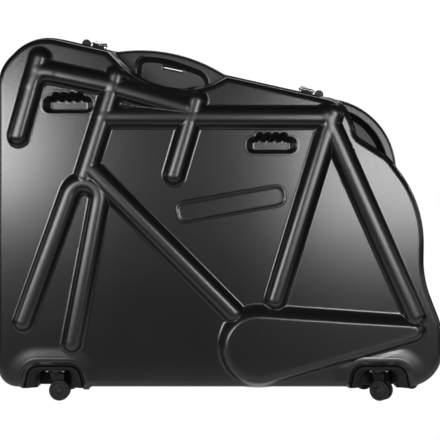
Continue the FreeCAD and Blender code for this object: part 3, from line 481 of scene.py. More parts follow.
SHELL = shell_finish()
INNER = smooth_sheet_finish()
RIM = rim_finish()
MOULDING = moulded_finish("caster_moulding_black", (0.003, 0.003, 0.0032), (0.006, 0.006, 0.0063), 0.42, 1300, 0.14)
BUCKLE = moulded_finish("buckle_black", (0.010, 0.010, 0.0105), (0.018, 0.018, 0.0185), 0.30, 1700)
LOCK = moulded_finish("lock_black", (0.006, 0.006, 0.0065), (0.012, 0.012, 0.0125), 0.28, 2100, 0.2)
TREAD = rubber_finish("wheel_rubber", 0.006, 0.016)
SEAL = rubber_finish("seal_rubber_black", 0.008, 0.02)
# Steel darkened as painted shade: the caster plates and axles sit in the shade inside the housings and take this
# near-black tone for it.
SHADE_DARKENED_STEEL = metal_finish("steel_darkened_as_shade", (0.045, 0.045, 0.046), 0.42, 900)
STEEL = metal_finish("zinc_steel", (0.50, 0.50, 0.49), 0.34, 900)
CHROME = metal_finish("bright_chrome", (0.80, 0.80, 0.80), 0.10, 1500)
FOAM = foam_finish()
WEBBING = webbing_finish()


# Relief of the panels

RIBS = {
    "handlebar": [(-0.3902, 0.9199), (-0.4372, 0.7079)],
    "stem": [(-0.3934, 0.8883), (-0.2316, 0.8447)],
    "head_tube": [(-0.2252, 0.8703), (-0.2931, 0.5963)],
    "upper_brace": [(-0.2295, 0.8390), (-0.0764, 0.7830)],
    "top_tube": [(-0.2532, 0.7590), (0.2364, 0.7576)],
    "seat_post": [(-0.0526, 0.8029), (-0.1001, 0.5990)],
    "seat_tube": [(0.2430, 0.7690), (0.1188, 0.2548)],
    "seat_stay": [(0.2278, 0.7643), (0.4197, 0.2107)],
    "down_tube": [(-0.2769, 0.6101), (0.0272, 0.2189)],
}
STEM_BEND = ((-429.6, 842.7), (-467.4, 851.6), (-480.6, 810.8))
RIB_RADIUS = 24
RIB_POWER = 2.6
RIB_STEEP = 0.86
RIB_SLOPE = 2.2
RIB_CROWN = 3.5
RIB_BLEND = 2
FORK_CROWN = (-347.4, 523.8)
FORK_CROWN_RADIUS = 38.8
FORK_ARC = (157.7, -11)
FORK_FEET = spot([(-0.4258, 0.1942), (-0.3201, 0.1364)])
FORK_RADIUS = 23
PAD_BLEND = 3
PANEL_FILLET = 10
TEARDROP = spot([(0.0822, 0.1273, 0.0856), (0.4142, 0.1714, 0.0280)])
TEARDROP_RISE = 25
TEARDROP_FLANK = 14
TEARDROP_TILT = 6
TEARDROP_ROUND = 14
POCKETS = spot([(-0.3295, 0.7719), (0.1109, 0.6601)])
POCKET_HALF = 63.5
POCKET_HEIGHT = 41
POCKET_CORNER = 18
POCKET_DEPTH = 32
FINGER_PITCH = 20
FINGER_RADIUS = 11
WELL_CENTRES = {"left": -0.3627 * LENGTH, "right": 0.3475 * LENGTH}
WELL_LIP = 14
WELL_RISE = 3
WELL_SPREAD = 42
HOUSING_FOOT = 35
HOUSING_BACK = 47
ARCH_SIZES = ARCH_FOOT, ARCH_TOP_HALF, ARCH_TOP, ARCH_RADIUS = 76, 62, 93, 30
ARCH_SLOPE = (ARCH_FOOT - ARCH_TOP_HALF) / (ARCH_TOP - HOUSING_FOOT)
TUNNEL_SIZES = (44.3, 42, 82, 16)


def ease(share):
    """Smooth step from 0 to 1."""
    return share * share * (3 - 2 * share)


def smooth_max(a, b, k):
    """Larger of two heights with the valley between them filled over a height of k."""
    near = np.maximum(k - np.abs(a - b), 0) / k
    return np.maximum(a, b) + near * near * k / 4


def smooth_min(a, b, k):
    """Smaller of two heights, rounded like smooth_max."""
    return -smooth_max(-a, -b, k)


def from_path(x, z, path):
    """Distance from a path of straight runs."""
    nearest = np.full(x.shape, np.inf)
    for a, b in zip(path[:-1], path[1:]):
        edge = b - a
        share = np.clip(((x - a[0]) * edge[0] + (z - a[1]) * edge[1]) / (edge @ edge), 0, 1)
        nearest = np.minimum(nearest, np.hypot(x - a[0] - share * edge[0], z - a[1] - share * edge[1]))
    return nearest


def tube(distance, radius):
    """Rib: a superellipse set a wall below the panel, going on straight below its steep part."""
    share = np.minimum(distance / radius, RIB_STEEP)
    crown = (radius + RIB_CROWN) * (1 - share ** RIB_POWER) ** (1 / RIB_POWER)
    return crown - WALL - RIB_SLOPE * np.maximum(distance - RIB_STEEP * radius, 0)


def arch(centre, low, grow, foot, top_half, top, radius):
    """Corners of an arch with sloped sides, grown on all but its open foot."""
    corners = np.array([(centre - foot, low, 2), (centre - top_half, top, radius), (centre + top_half, top, radius),
                        (centre + foot, low, 2)], float)
    return inset(corners, [-grow, -grow, -grow, 0])


def well_arch(centre, grow):
    """Corners of a caster housing's arch, its feet drawn down below the shell."""
    return arch(centre, 0, grow, ARCH_FOOT + HOUSING_FOOT * ARCH_SLOPE, *ARCH_SIZES[1:])


def bend(first, corner, last, count=12):
    """Curve that leaves one point and reaches another along the two lines through a corner: a parabola."""
    share = np.linspace(0, 1, count)[:, None]
    first, corner, last = (np.asarray(place, float) for place in (first, corner, last))
    return first * (1 - share) ** 2 + 2 * corner * share * (1 - share) + last * share ** 2


def fork_path():
    """Two legs joined over the top by an arc."""
    angle = np.radians(np.linspace(*FORK_ARC, 16))
    crown = np.array(FORK_CROWN) + FORK_CROWN_RADIUS * np.column_stack([np.cos(angle), np.sin(angle)])
    return np.array([FORK_FEET[0], *crown, FORK_FEET[1]])


def from_teardrop(x, z):
    """Signed distance from the outline round two circles and their outer tangents, and its flank's width there."""
    (x1, z1, r1), (x2, z2, r2) = TEARDROP
    span = math.hypot(x2 - x1, z2 - z1)
    ux, uz = (x2 - x1) / span, (z2 - z1) / span
    v = (x - x1) * ux + (z - z1) * uz
    side = (x - x1) * -uz + (z - z1) * ux
    u = np.abs(side)
    local = r1 + (r2 - r1) * np.clip(v / span, 0, 1)
    flank = TEARDROP_FLANK + TEARDROP_TILT * np.clip(side / local, -1, 1)
    b = (r1 - r2) / span
    a = math.sqrt(1 - b * b)
    k = v * a - u * b
    middle = u * a + v * b - r1
    outside = np.where(k < 0, np.hypot(u, v) - r1, np.where(k > a * span, np.hypot(u, v - span) - r2, middle))
    return outside, flank


def relief(x, z):
    """Raised forms of a panel above its plane, before they meet the panel: tube ribs, fork and teardrop."""
    paths = {name: spot(path) for name, path in RIBS.items()}
    paths["stem_bend"] = bend(*STEM_BEND)
    height = np.full(x.shape, -60.0)
    for path in paths.values():
        height = smooth_max(height, tube(from_path(x, z, path), RIB_RADIUS), RIB_BLEND)
    height = smooth_max(height, tube(from_path(x, z, fork_path()), FORK_RADIUS), PAD_BLEND)
    outside, flank = from_teardrop(x, z)
    pad = smooth_min(np.full(x.shape, float(TEARDROP_RISE)), -outside * TEARDROP_RISE / flank, TEARDROP_ROUND)
    return smooth_max(height, pad, PAD_BLEND)


def bulge_rise(outside):
    """Height of the swelling at a distance from an arch: full up to the lip, gone over the spread."""
    return WELL_RISE * (1 - ease(np.clip((outside - WELL_LIP) / WELL_SPREAD, 0, 1)))


def well_bulge(x, z):
    """Swelling of the panel round each caster housing's arch."""
    total = np.zeros(x.shape)
    for centre in WELL_CENTRES.values():
        near = (np.abs(x - centre) < 150) & (z < 170)
        total[near] += bulge_rise(away(x[near], z[near], loop(well_arch(centre, 0), 420)))
    return total


def pocket_outline(centre, low, grow, count=320):
    """Mouth of a finger pocket: a tray with round ends and four scallops along its top edge."""
    corners = tray(centre - POCKET_HALF, low, centre + POCKET_HALF, low + POCKET_HEIGHT, POCKET_CORNER)
    inward = min(grow, 0)
    sides = grow + inward * np.array([0.2, -0.25, 0.2, -0.4])
    points = loop(inset(corners, -sides), count)
    fingers = centre + (np.arange(4) - 1.5) * FINGER_PITCH
    reach = FINGER_RADIUS + max(grow, grow / 2)
    scallop = np.sqrt(np.maximum(reach ** 2 - (points[:, :1] - fingers) ** 2, 0)).max(1)
    top = points[:, 1] > low + POCKET_HEIGHT / 2
    lifted = np.maximum(points[:, 1], low + POCKET_HEIGHT + 0.75 * inward + scallop)
    points[:, 1] = np.where(top & (scallop > 0), lifted, points[:, 1])
    return points


# Shells

SPINE = np.array([(-330.0, 455.0), (265.0, 405.0)])
SPINE_SHARES = (0.20, 0.60)
CHAIN = 470
INNER_ROWS = 160
WALL_FOOT = 36
FOOT_STEP = 1
FOOT_RINGS = ((0, RIM_DEPTH), (0, 22), (0, 30), (0.35, 33.4), (FOOT_STEP, WALL_FOOT))
WALL_SHARES = (0.1, 0.2, 0.42, 0.62, 0.8, 0.92)
RELIEF_START = 60
CREST_RISE = 20
POCKET_CUT = 3.5
WALL_CUT = -3
PANEL_CUT = 15


def skin_places():
    """Places around the deep outline: an upper and a lower chain of equal count, split at mid left and mid right."""
    left, right = 0.75, 10.35
    upper = even_places(DEEP_CORNERS, left, right, CHAIN + 1)[:-1]
    lower = even_places(DEEP_CORNERS, right, left + len(DEEP_CORNERS), CHAIN + 1)[:-1]
    return np.concatenate([upper, lower])


def skin_grid(skin, chain_step=1):
    """Skin of the front shell as a grid of rings.

    From the open edge the rings climb the drafted wall, round the panel's edge by a quarter circle and close on a
    spine across the panel; every point stands at the larger of its ring's depth and the panel's relief.
    """
    places = skin_places()[::chain_step]
    rings, depths = [], []
    base = LEDGE + skin
    radius = EDGE_RADIUS - skin
    for step, depth in FOOT_RINGS:
        rings.append(along(inset(DEEP_CORNERS, base + step), places))
        depths.append(depth)
    base += FOOT_STEP
    head = DEPTH - EDGE_RADIUS
    for share in WALL_SHARES:
        rings.append(along(inset(DEEP_CORNERS, base + share * DEEP_DRAFTS), places))
        depths.append(WALL_FOOT + share * (head - WALL_FOOT))
    for angle in np.radians([0, 15, 30, 45, 60, 75, 90]):
        rings.append(along(inset(DEEP_CORNERS, base + DEEP_DRAFTS + radius * (1 - math.cos(angle))), places))
        depths.append(head + radius * math.sin(angle))
    edge = rings[-1]
    half = len(places) // 2
    share = np.arange(half) / half
    start, span = SPINE_SHARES
    run = np.clip((np.concatenate([share, 1 - share]) - start) / span, 0, 1)
    spine = SPINE[0] + run[:, None] * (SPINE[1] - SPINE[0])
    for step in np.linspace(0, 1, INNER_ROWS // chain_step)[1:]:
        rings.append(edge * (1 - step) + spine * step)
        depths.append(depths[-1])
    flat = np.array(rings)
    depth = np.repeat(np.array(depths, float)[:, None], len(places), axis=1)
    raised = relief(flat[..., 0], flat[..., 1])
    whole = smooth_max(depth, DEPTH - skin + raised, PANEL_FILLET)
    outside, _ = from_teardrop(flat[..., 0], flat[..., 1])
    crest = np.clip((whole - DEPTH) / CREST_RISE, 0, 1) * np.clip((outside + 30) / 10, 0, 1)
    share = np.clip((depth - head) / (DEPTH - skin - head), 0, 1) * np.clip(outside / 12, 0, 1)
    whole += well_bulge(flat[..., 0], flat[..., 1]) * share
    return flat, np.where(depth < RELIEF_START, depth, whole), crest


def skin_openings(flat, depth):
    """Which quads of the skin lie in a finger pocket or in a caster housing's arch."""
    centre = (flat[:-1] + flat[1:]) / 2
    centre = (centre + np.roll(centre, -1, axis=1)) / 2
    deep = (depth[:-1] + depth[1:]) / 2
    x, z = centre[..., 0], centre[..., 1]
    cut = np.zeros(x.shape, bool)
    for pocket in POCKETS:
        near = (np.abs(x - pocket[0]) < 90) & (np.abs(z - pocket[1]) < 80)
        cut[near] |= away(x[near], z[near], pocket_outline(*pocket, POCKET_CUT)) < 0
    for well in WELL_CENTRES.values():
        near = (np.abs(x - well) < 120) & (z < 120) & (deep > HOUSING_BACK)
        margin = np.where(deep[near] < DEPTH - EDGE_RADIUS, WALL_CUT, PANEL_CUT)
        cut[near] |= away(x[near], z[near], loop(well_arch(well, 0), 120)) < margin
    return cut


def grid_lean(points):
    """Unit normals of a closed grid, from the steps along its rings and across them."""
    normal = np.cross(np.roll(points, -1, axis=1) - np.roll(points, 1, axis=1), np.gradient(points, axis=0))
    size = np.linalg.norm(normal, axis=-1, keepdims=True)
    normal = normal / np.maximum(size, 0.000001)
    normal[-1] = np.where(size[-1] > 0.001, normal[-1], normal[-2])
    return normal


def shell_skin(name, half, skin, finish, replaces=(), chain_step=1):
    """Outer or inner skin of a half in an upper and a lower piece; the rear half mirrors the front one."""
    flat, depth, crest = skin_grid(skin, chain_step)
    cut = skin_openings(flat, depth)
    sign = SIGN[half]
    points = np.stack([flat[..., 0], sign * depth, flat[..., 1]], axis=-1)
    facing = sign if skin == 0 else -sign
    lean = grid_lean(points)
    lean = lean * facing * np.sign(np.median(lean[30:, :, 1]))
    outward = (half == "front") == (skin == 0)
    count = depth.shape[1] // 2
    for number, side in enumerate(("upper", "lower")):
        columns = np.arange(number * count, (number + 1) * count + 1) % depth.shape[1]
        kept = ~cut[:, number * count:(number + 1) * count].ravel()
        faces = grid_faces(len(depth), count + 1, flip=outward)[kept]
        shell_piece(f"{name}_{side}", half, points[:, columns], faces, finish, replaces=replaces, weld=0.02,
                    crest=crest[:, columns], lean=lean[:, columns])
        replaces = ()


def sided(rows, half):
    """Rows of (outline, depth) as points of the front half or mirrored to the rear one."""
    return np.array([np.column_stack([flat[:, 0], np.full(len(flat), SIGN[half] * depth), flat[:, 1]])
                     for flat, depth in rows])


def pocket_cup(name, half, centre, low):
    """Finger pocket: a lip lying on the panel, a rounded mouth, drafted walls and a flat floor."""
    profile = [(8.6, -0.3), (7.2, 0), (5, 0.12), (2.5, 0.15), (1.1, 0), (0.3, -0.7), (0, -2), (-0.3, -3.5)]
    profile += [(-0.3 - 11.2 * share, -3.5 - 26 * share) for share in (0.2, 0.4, 0.6, 0.8, 1.0)]
    profile += [(-12.4, -30.9), (-14, -31.8)]
    rows = []
    for grow, rise in profile:
        flat = pocket_outline(centre, low, grow)
        panel = smooth_max(DEPTH, DEPTH + relief(*flat.T), PANEL_FILLET) - DEPTH
        rows.append((flat, DEPTH + rise + panel * np.clip(1 + rise / 3.5, 0, 1)))
    floor = rows[-1][0]
    middle = np.clip(np.round((floor[:, 0] - centre) / 2) * 2, -38, 38)
    middle = np.column_stack([centre + middle, np.full(len(floor), low + 20.0)])
    rows += [(floor * (1 - share) + middle * share, DEPTH - POCKET_DEPTH) for share in (0.2, 0.6, 1.0)]
    points = sided(rows, half)
    return thickened(shell_piece(name, half, points, half_faces(points, half, True), weld=0.02), 2.5, rim=False)


PLATE_MIDDLE = (27, 510)
PLATE_TILT = 10


def name_plate(name, half):
    """Bare raised plate: a rounded bead round a sunk field, tilted up to the right."""
    corners = tray(-143, -30, 143, 30, 24)
    profile = [(-1.5, -0.6), (0, 0.3), (0.5, 1.8), (1.3, 2.7), (2.6, 3.1), (5.2, 3.1), (6.5, 2.6), (7.2, 1.6),
               (8.4, 1.2)]
    rows = [(loop(inset(corners, distance), 280), DEPTH + rise) for distance, rise in profile]
    field = rows[-1][0]
    middle = np.column_stack([np.clip(field[:, 0], -118, 118), np.zeros(len(field))])
    rows += [(field * (1 - share) + middle * share, DEPTH + 1.2) for share in (0.3, 1.0)]
    points = sided(rows, half)
    points[..., 0], points[..., 2] = turned(points[..., 0], points[..., 2], PLATE_TILT, PLATE_MIDDLE)
    return shell_piece(name, half, points, half_faces(points, half, True), weld=0.02)


def well_collar(name, half, centre):
    """Rolled lip around a caster housing's arch, its slope inwards, and the wall that runs back beside the housing."""
    profile = [(26, -0.3), (24, 0), (21.5, 0.07), (19, 0.1), (17, 0.13), (15.6, 0.13), (14.4, -0.05), (13.4, -0.8),
               (12.7, -2.4), (8.5, -9), (4.5, -15.2), (1.6, -19.5), (0.5, -21), (0.4, -25.5), (0.4, -117.5)]
    outline = loop(inset(DEEP_CORNERS, LEDGE + FOOT_STEP + DEEP_DRAFTS), 3000)
    edge = outline[outline[:, 1] < 160]
    edge = edge[np.argsort(edge[:, 0])]
    rows = []
    for grow, rise in profile:
        corners = well_arch(centre, grow)
        flat = along(corners, even_places(corners, 0.75, 3.25, 90))
        low = np.interp(flat[:, 0], *edge.T)
        height = np.maximum(flat[:, 1], low - 6 + 0.9 * max(grow - 14.4, 0))
        turn = np.clip(1 + away(flat[:, 0], height, outline) / EDGE_RADIUS, 0, 1)
        panel = DEPTH - EDGE_RADIUS * (1 - np.sqrt(1 - turn ** 2))
        depth = np.where(rise < -3, np.minimum(DEPTH + WELL_RISE + rise, panel), panel + bulge_rise(grow) + rise)
        drawn_in = (height - flat[:, 1]) * ARCH_SLOPE * np.sign(flat[:, 0] - centre)
        rows.append(np.column_stack([flat[:, 0] - drawn_in, depth, height]))
    points = np.array(rows)
    points[..., 1] *= SIGN[half]
    return thickened(shell_piece(name, half, points, half_faces(points, half), weld=0.02), 1.5, rim=False)


TOP_POCKET = spot([(-0.1901, 0.8225, 0.004), (-0.1847, 0.9425, 0.022), (-0.1271, 0.9414, 0.28),
                   (-0.0302, 0.8961, 0.035), (-0.0234, 0.8225, 0.004)])
HANDLES = {
    "top_handle": {"rim": (3.97, 6.53), "corners": TOP_POCKET, "start": 0, "span": (0.5, 4.0), "slope": 9,
                   "line": [(-190, 800), (-60, 790)]},
    "corner_handle": {"rim": (6.85, 8.9), "corners": RIM_CORNERS, "start": 27, "span": (6.85, 8.9), "slope": 10,
                      "line": [(300, 750), (405, 600)]},
}
SLIT_MIDDLE = spot((-0.1075, 0.9137))
SLIT_HALF, SLIT_TALL, SLIT_TILT = 27, 3, -12
BAR_DEPTH = 34
HAND_DEPTH = 16


def handle_lug(name, half, rim, corners, start, span, slope, line):
    """Handle in the flange: rounded outer edge, flat bar, and the hand pocket with its sloped wall and floor.

    Columns run along the handle. Rows go inwards: insets of the rim outline with a quarter-round edge, straight to the
    pocket's mouth, down the slope by insets of the mouth, then flat to a line that the deep wall hides.
    """
    columns = 240
    rim_places = even_places(RIM_CORNERS, *rim, columns)
    mouth_places = even_places(corners, *span, columns)

    def mouth(distance):
        return along(inset(corners, start + distance), mouth_places)

    edge = ((3.0, 12), (3.0, 20), (3.0, 25.5), (3.3, 28.4), (4.2, 31), (5.8, 32.9), (8, 33.8), (10.5, BAR_DEPTH))
    rows = [(along(inset(RIM_CORNERS, distance), rim_places), depth) for distance, depth in edge]
    outer = rows[-1][0]
    rows += [(outer * (1 - share) + mouth(-5) * share, BAR_DEPTH) for share in (0.25, 0.5, 0.75, 1.0)]
    rows += [(mouth(-3.2), 33.7), (mouth(-1.7), 32.9), (mouth(-0.6), 31.7), (mouth(0.1), 30.2), (mouth(0.5), 28.2)]
    rows += [(mouth(0.5 + (slope - 1.3) * share), 28.2 - 10.2 * share) for share in np.linspace(0.15, 1, 7)]
    rows += [(mouth(slope), 16.8), (mouth(slope + 1.2), 16.2), (mouth(slope + 3), HAND_DEPTH)]
    inner = rows[-1][0]
    hidden = np.linspace(*np.array(line, float), columns)
    rows += [(inner * (1 - share) + hidden * share, HAND_DEPTH) for share in np.linspace(0.04, 1, 25)]
    points = sided(rows, half)
    faces = half_faces(points, half)
    if start == 0:
        x, z = points[..., 0], points[..., 2]
        centre_x = (x[:-1, :-1] + x[1:, 1:]) / 2
        centre_z = (z[:-1, :-1] + z[1:, 1:]) / 2
        faces = faces[(away(centre_x, centre_z, slit_outline(1.5)) > 0).ravel()]
    crest = np.where(np.abs(points[..., 1]) < 28, -1.0, -0.5)
    return thickened(shell_piece(name, half, points, faces, weld=0.05, crest=crest), 3.6)


def slit_outline(grow, count=90):
    """Slot through the web of the top handle."""
    half, tall = SLIT_HALF + grow, SLIT_TALL + grow
    flat = loop(tray(-half, -tall, half, tall, tall * 0.98), count)
    return np.column_stack(turned(*flat.T, SLIT_TILT, SLIT_MIDDLE))


def slit_edge(name, half):
    """Rolled edge of the handle's slot, through the web."""
    profile = [(5.5, 15.6), (4, 16.3), (2.2, 16.5), (0.8, 16.2), (0, 15.2), (0, 12.4), (1, 11.8), (5.5, 12.2)]
    points = sided([(slit_outline(grow), depth) for grow, depth in profile], half)
    return shell_piece(name, half, points, half_faces(points, half, True))


def swept(name, half, profile, corners, count, finish, replaces, body, slot):
    """Closed band: a profile of insets and depths carried round an outline."""
    places = even_places(corners, 0, len(corners), count + 1)[:-1]
    rows = [(along(inset(corners, distance), places), depth) for distance, depth in [*profile, profile[0]]]
    points = sided(rows, half)
    return piece(name, points, grid_faces(*points.shape[:2], closed=True), finish, body, slot, replaces,
                 weld=0.01, sharp=50, solid=True)


RIM_PROFILE = [(1.0, 0.2), (0.3, 0.5), (0, 1.2), (0, 6.2), (0.5, 6.8), (0.5, 8.2), (0, 8.8), (0, 18.6),
               (0.3, 19.5), (1, 20), (2.2, 20), (2.6, 19.7), (2.7, 19.2), (2.7, 12.2), (3.2, 12), (12.4, 12),
               (13, 11.4), (13, 0.8), (12.4, 0.2)]
GROOVE_PROFILE = {"front": [], "rear": [(9, 0.2), (9, 4.3), (5, 4.3), (5, 0.2)]}
SEAL_PROFILE = [(5.4, 4.2), (5.4, 1.6), (5.9, 0.7), (7, 0.25), (8.1, 0.7), (8.6, 1.6), (8.6, 4.2)]


def caster_housing(name, half, hand, centre):
    """Moulded arch: a closed profile of outer wall, rounded front and wheel tunnel along the arch, its feet capped.

    A wall closes the tunnel's back, straight down from its arch to its feet.
    """
    places = even_places(arch(centre, HOUSING_FOOT, 0, *ARCH_SIZES), 0.5, 3.0, 80)

    def row(sizes, grow):
        return along(arch(centre, HOUSING_FOOT, grow, *sizes), places)

    outer = [(-0.3, HOUSING_BACK), (-0.3, 120), (-0.3, 145), (-0.9, 148), (-2.2, 149.2), (-4, 149.4), (-9, 148)]
    tunnel = [(7, 142), (3, 139), (1.2, 136.5), (0.3, 133), (0, 128), (0, 100), (0, HOUSING_BACK)]
    rows = [(row(ARCH_SIZES, grow), depth) for grow, depth in outer]
    rows += [(row(TUNNEL_SIZES, grow), depth) for grow, depth in tunnel]
    points = sided(rows, half).transpose(1, 0, 2)
    faces = capped_faces(len(places), len(rows))
    mouth = row(TUNNEL_SIZES, 1)
    middle = np.column_stack([mouth[:, 0], np.full(len(mouth), float(HOUSING_FOOT))])
    wall = sided([(mouth * (1 - share) + middle * share, HOUSING_BACK + step) for share, step in
                  ((0, 0), (0, 3), (0.04, 4), (0.5, 4), (1, 4), (1, 0))], half)
    piece(name + "_back", wall, grid_faces(*wall.shape[:2]), MOULDING, half + "_half", "caster_moulding", weld=0.01,
          sharp=40, solid=True)
    return piece(name, points, faces, MOULDING, half + "_half", "caster_moulding", (f"{half}_{hand}_caster_housing",),
                 weld=0.01, sharp=40, solid=True)


CASTER_TURNS = {"front_left": 0, "front_right": -33, "rear_left": 24, "rear_right": 160}
WHEEL_PROFILE = [(3.1, 6.2), (7.5, 6.2), (8.6, 7.2), (18, 7.2), (20, 6.2), (24.6, 6.2), (26.2, 7.1), (26.9, 8.6),
                 (27, 11), (26.9, 14), (26.2, 15.8), (24.8, 16.8), (20.6, 17), (19.5, 16.4), (18.6, 14.8),
                 (10.6, 14.4), (9.5, 15.4), (8, 17), (3.1, 17)]
STEM_DEPTH = 100
WHEEL_RADIUS = 27
TRAIL = 10


def caster_wheels(name, turn):
    """Twin wheels: a dished wheel profile turned about the axle, once on each side of the fork."""
    half, hand = name.split("_")
    angle = math.radians(turn)
    ahead = np.array([math.cos(angle), math.sin(angle), 0])
    axle = np.array([-math.sin(angle), math.cos(angle), 0])
    hub = np.array([WELL_CENTRES[hand], SIGN[half] * STEM_DEPTH, WHEEL_RADIUS]) + TRAIL * ahead
    profile = np.array([*WHEEL_PROFILE, WHEEL_PROFILE[0]])
    round_steps = np.linspace(0, 2 * math.pi, 56, endpoint=False)
    spokes = np.cos(round_steps)[:, None] * ahead + np.sin(round_steps)[:, None] * np.array([0, 0, 1])
    sets, faces = [], []
    for side in (-1, 1):
        rows = hub + side * profile[:, 1, None, None] * axle + profile[:, 0, None, None] * spokes
        faces.append(grid_faces(*rows.shape[:2], closed=True) + sum(len(done) for done in sets))
        sets.append(rows.reshape(-1, 3))
    return piece(name + "_twin_wheels", np.concatenate(sets), np.concatenate(faces), TREAD, name + "_wheelset",
                 "wheel_tread", (name + "_caster_wheels",), weld=0.01, sharp=50, solid=True)


FOAM_PITCH = 45
FOAM_BACK = 160.7
FOAM_FACE = 131.2


def foam_pad(half):
    """Convoluted foam pad: a closed form with a face of soft bumps, pressed thin over the finger pockets' floors.

    Rings follow the pad's outline from its back over a rounded border and close on a spine; the bumps are the product
    of two cosines.
    """
    margins = LEDGE + np.where(DEEP_DRAFTS == SIDE_DRAFT, 65.0, DEEP_DRAFTS + 34.0)
    margins[-1] = 90
    corners = inset(DEEP_CORNERS, margins)
    places = even_places(corners, 0.75, len(corners) + 0.75, 421)[:-1]
    border = [(4, FOAM_BACK), (1.2, 160.2), (0, 158), (0, 142), (1.4, 137), (5, 133.4), (10, 131.6)]
    rings = [along(inset(corners, distance), places) for distance, _ in border]
    edge = rings[-1]
    spine = np.column_stack([np.clip(edge[:, 0], -330, 265), np.full(len(edge), 430.0)])
    rings += [edge * (1 - share) + spine * share for share in np.linspace(0, 1, 60)[1:]]
    back = [rings[0] * (1 - share) + spine * share for share in np.linspace(1, 0, 61)[:-1]]
    face = len(back) + len(border)
    flat = np.array([*back, *rings])
    x, z = flat[..., 0], flat[..., 1]
    bumps = (1 - np.cos(2 * np.pi * x / FOAM_PITCH) * np.cos(2 * np.pi * z / FOAM_PITCH)) / 2
    depth = np.full(x.shape, FOAM_BACK)
    depth[len(back):face] = np.array([level for _, level in border])[:, None]
    depth[face:] = FOAM_FACE + 10 * bumps[face:]
    for pocket in POCKETS:
        near = np.maximum(np.abs(x - pocket[0]) - 74, np.abs(z - pocket[1] - 26) - 38)
        press = ease(np.clip(1 - near / 8, 0, 1))
        depth[:len(back)] += ((130.2 - depth) * press)[:len(back)]
        depth[face:] += ((128.2 - depth) * press)[face:]
    points = np.stack([x, SIGN[half] * depth, z], axis=-1)
    pad = piece(half + "_convoluted_foam", points, grid_faces(*x.shape, closed=True), FOAM, half + "_half", "foam",
                (half + "_foam_pad",), weld=0.05, solid=True)
    return pad


STRAP_MIDDLE = GROUND + 0.43 * HEIGHT
STRAP_HALF_LENGTH = 210
STRAP_HALF_WIDTH = 19.2
STRAP_HALF_THICK = 0.95
STRAP_DEPTH = 129.3
STRAP_LIFT = 11


def strap(name, x):
    """Webbing: a flat rounded section carried up the pad and through the buckle's two slots, over its middle bar."""
    run = np.linspace(-STRAP_HALF_LENGTH, STRAP_HALF_LENGTH, 141)
    lift = ease(np.clip((21 - np.abs(run)) / 11, 0, 1))
    way = np.column_stack([STRAP_DEPTH - STRAP_LIFT * lift, STRAP_MIDDLE + run])
    heading = np.gradient(way, axis=0)
    heading /= np.hypot(*heading.T)[:, None]
    turn = np.linspace(0, 2 * np.pi, 24, endpoint=False)
    across = STRAP_HALF_WIDTH * np.sign(np.cos(turn)) * np.abs(np.cos(turn)) ** 0.35
    thick = STRAP_HALF_THICK * np.sign(np.sin(turn)) * np.abs(np.sin(turn)) ** 0.6
    points = np.empty((len(run), len(turn), 3))
    points[..., 0] = x + across
    points[..., 1] = way[:, :1] - thick * heading[:, 1:]
    points[..., 2] = way[:, 1:] + thick * heading[:, :1]
    faces = capped_faces(len(run), len(turn))
    band = piece(name + "_webbing", points, faces, WEBBING, "rear_half", "webbing", (name,), solid=True)
    chart = band.data.uv_layers.new(name="weave")
    corners = np.empty(len(band.data.loops), int)
    band.data.loops.foreach_get("vertex_index", corners)
    spots = np.empty(len(band.data.vertices) * 3)
    band.data.vertices.foreach_get("co", spots)
    spots = spots.reshape(-1, 3)[corners] / METRES
    chart.data.foreach_set("uv", np.column_stack([(spots[:, 0] - x) / 40, spots[:, 2] / 40]).ravel())
    return band


for half in ("front", "rear"):
    shell_skin(half + "_shell_skin", half, 0, SHELL, (half + "_shell",))
    shell_skin(half + "_shell_lining", half, WALL, INNER, chain_step=2)
    name_plate(half + "_bare_plate", half)
    for number, (x, z) in enumerate(POCKETS):
        pocket_cup(f"{half}_finger_pocket_{number + 1}", half, x, z)
    for hand, x in WELL_CENTRES.items():
        well_collar(f"{half}_{hand}_well_lip", half, x)
        caster_housing(f"{half}_{hand}_arch_housing", half, hand, x)
    for name, form in HANDLES.items():
        handle_lug(f"{half}_{name}", half, **form)
    slit_edge(half + "_handle_slit", half)
    swept(half + "_rim_profile", half, RIM_PROFILE + GROOVE_PROFILE[half], RIM_CORNERS, 640, RIM, (half + "_rim",),
          half + "_half", "rim_profile")
    foam_pad(half)
swept("rim_seal_strip", "rear", SEAL_PROFILE, RIM_CORNERS, 500, SEAL, ("rim_seal",), "rear_half", "seal_rubber")
for name, turn in CASTER_TURNS.items():
    caster_wheels(name, turn)
strap("rear_left_strap", -0.17 * LENGTH)
strap("rear_right_strap", 0.13 * LENGTH)


# Hard fittings: endings of the solids' names, finish and edge width

FITTINGS = [
    # The caster plates and axles take the shade-darkened steel, painted shade for the dark inside of the housings.
    (("_fork",), MOULDING, 0.8), (("_caster_plate",), SHADE_DARKENED_STEEL, 0.5), (("_axle",), SHADE_DARKENED_STEEL, 0.3),
    (("_screws", "_leaf"), STEEL, 0.4), (("_hinge_pin",), STEEL, 0.2), (("_lock_barrel",), LOCK, 1.2),
    (("_lock_core",), LOCK, 0.3), (("_base", "_keeper"), MOULDING, 0.3), (("_lever",), CHROME, 0.3),
    (("_bail",), CHROME, 0), (("strap_buckles",), BUCKLE, 1.0), (("strap_anchors",), STEEL, 0.5),
]
for node_name in frame["nodes"]:
    for endings, finish, width in FITTINGS:
        if node_name.endswith(endings):
            softened(node_name, finish, width)


# Stage


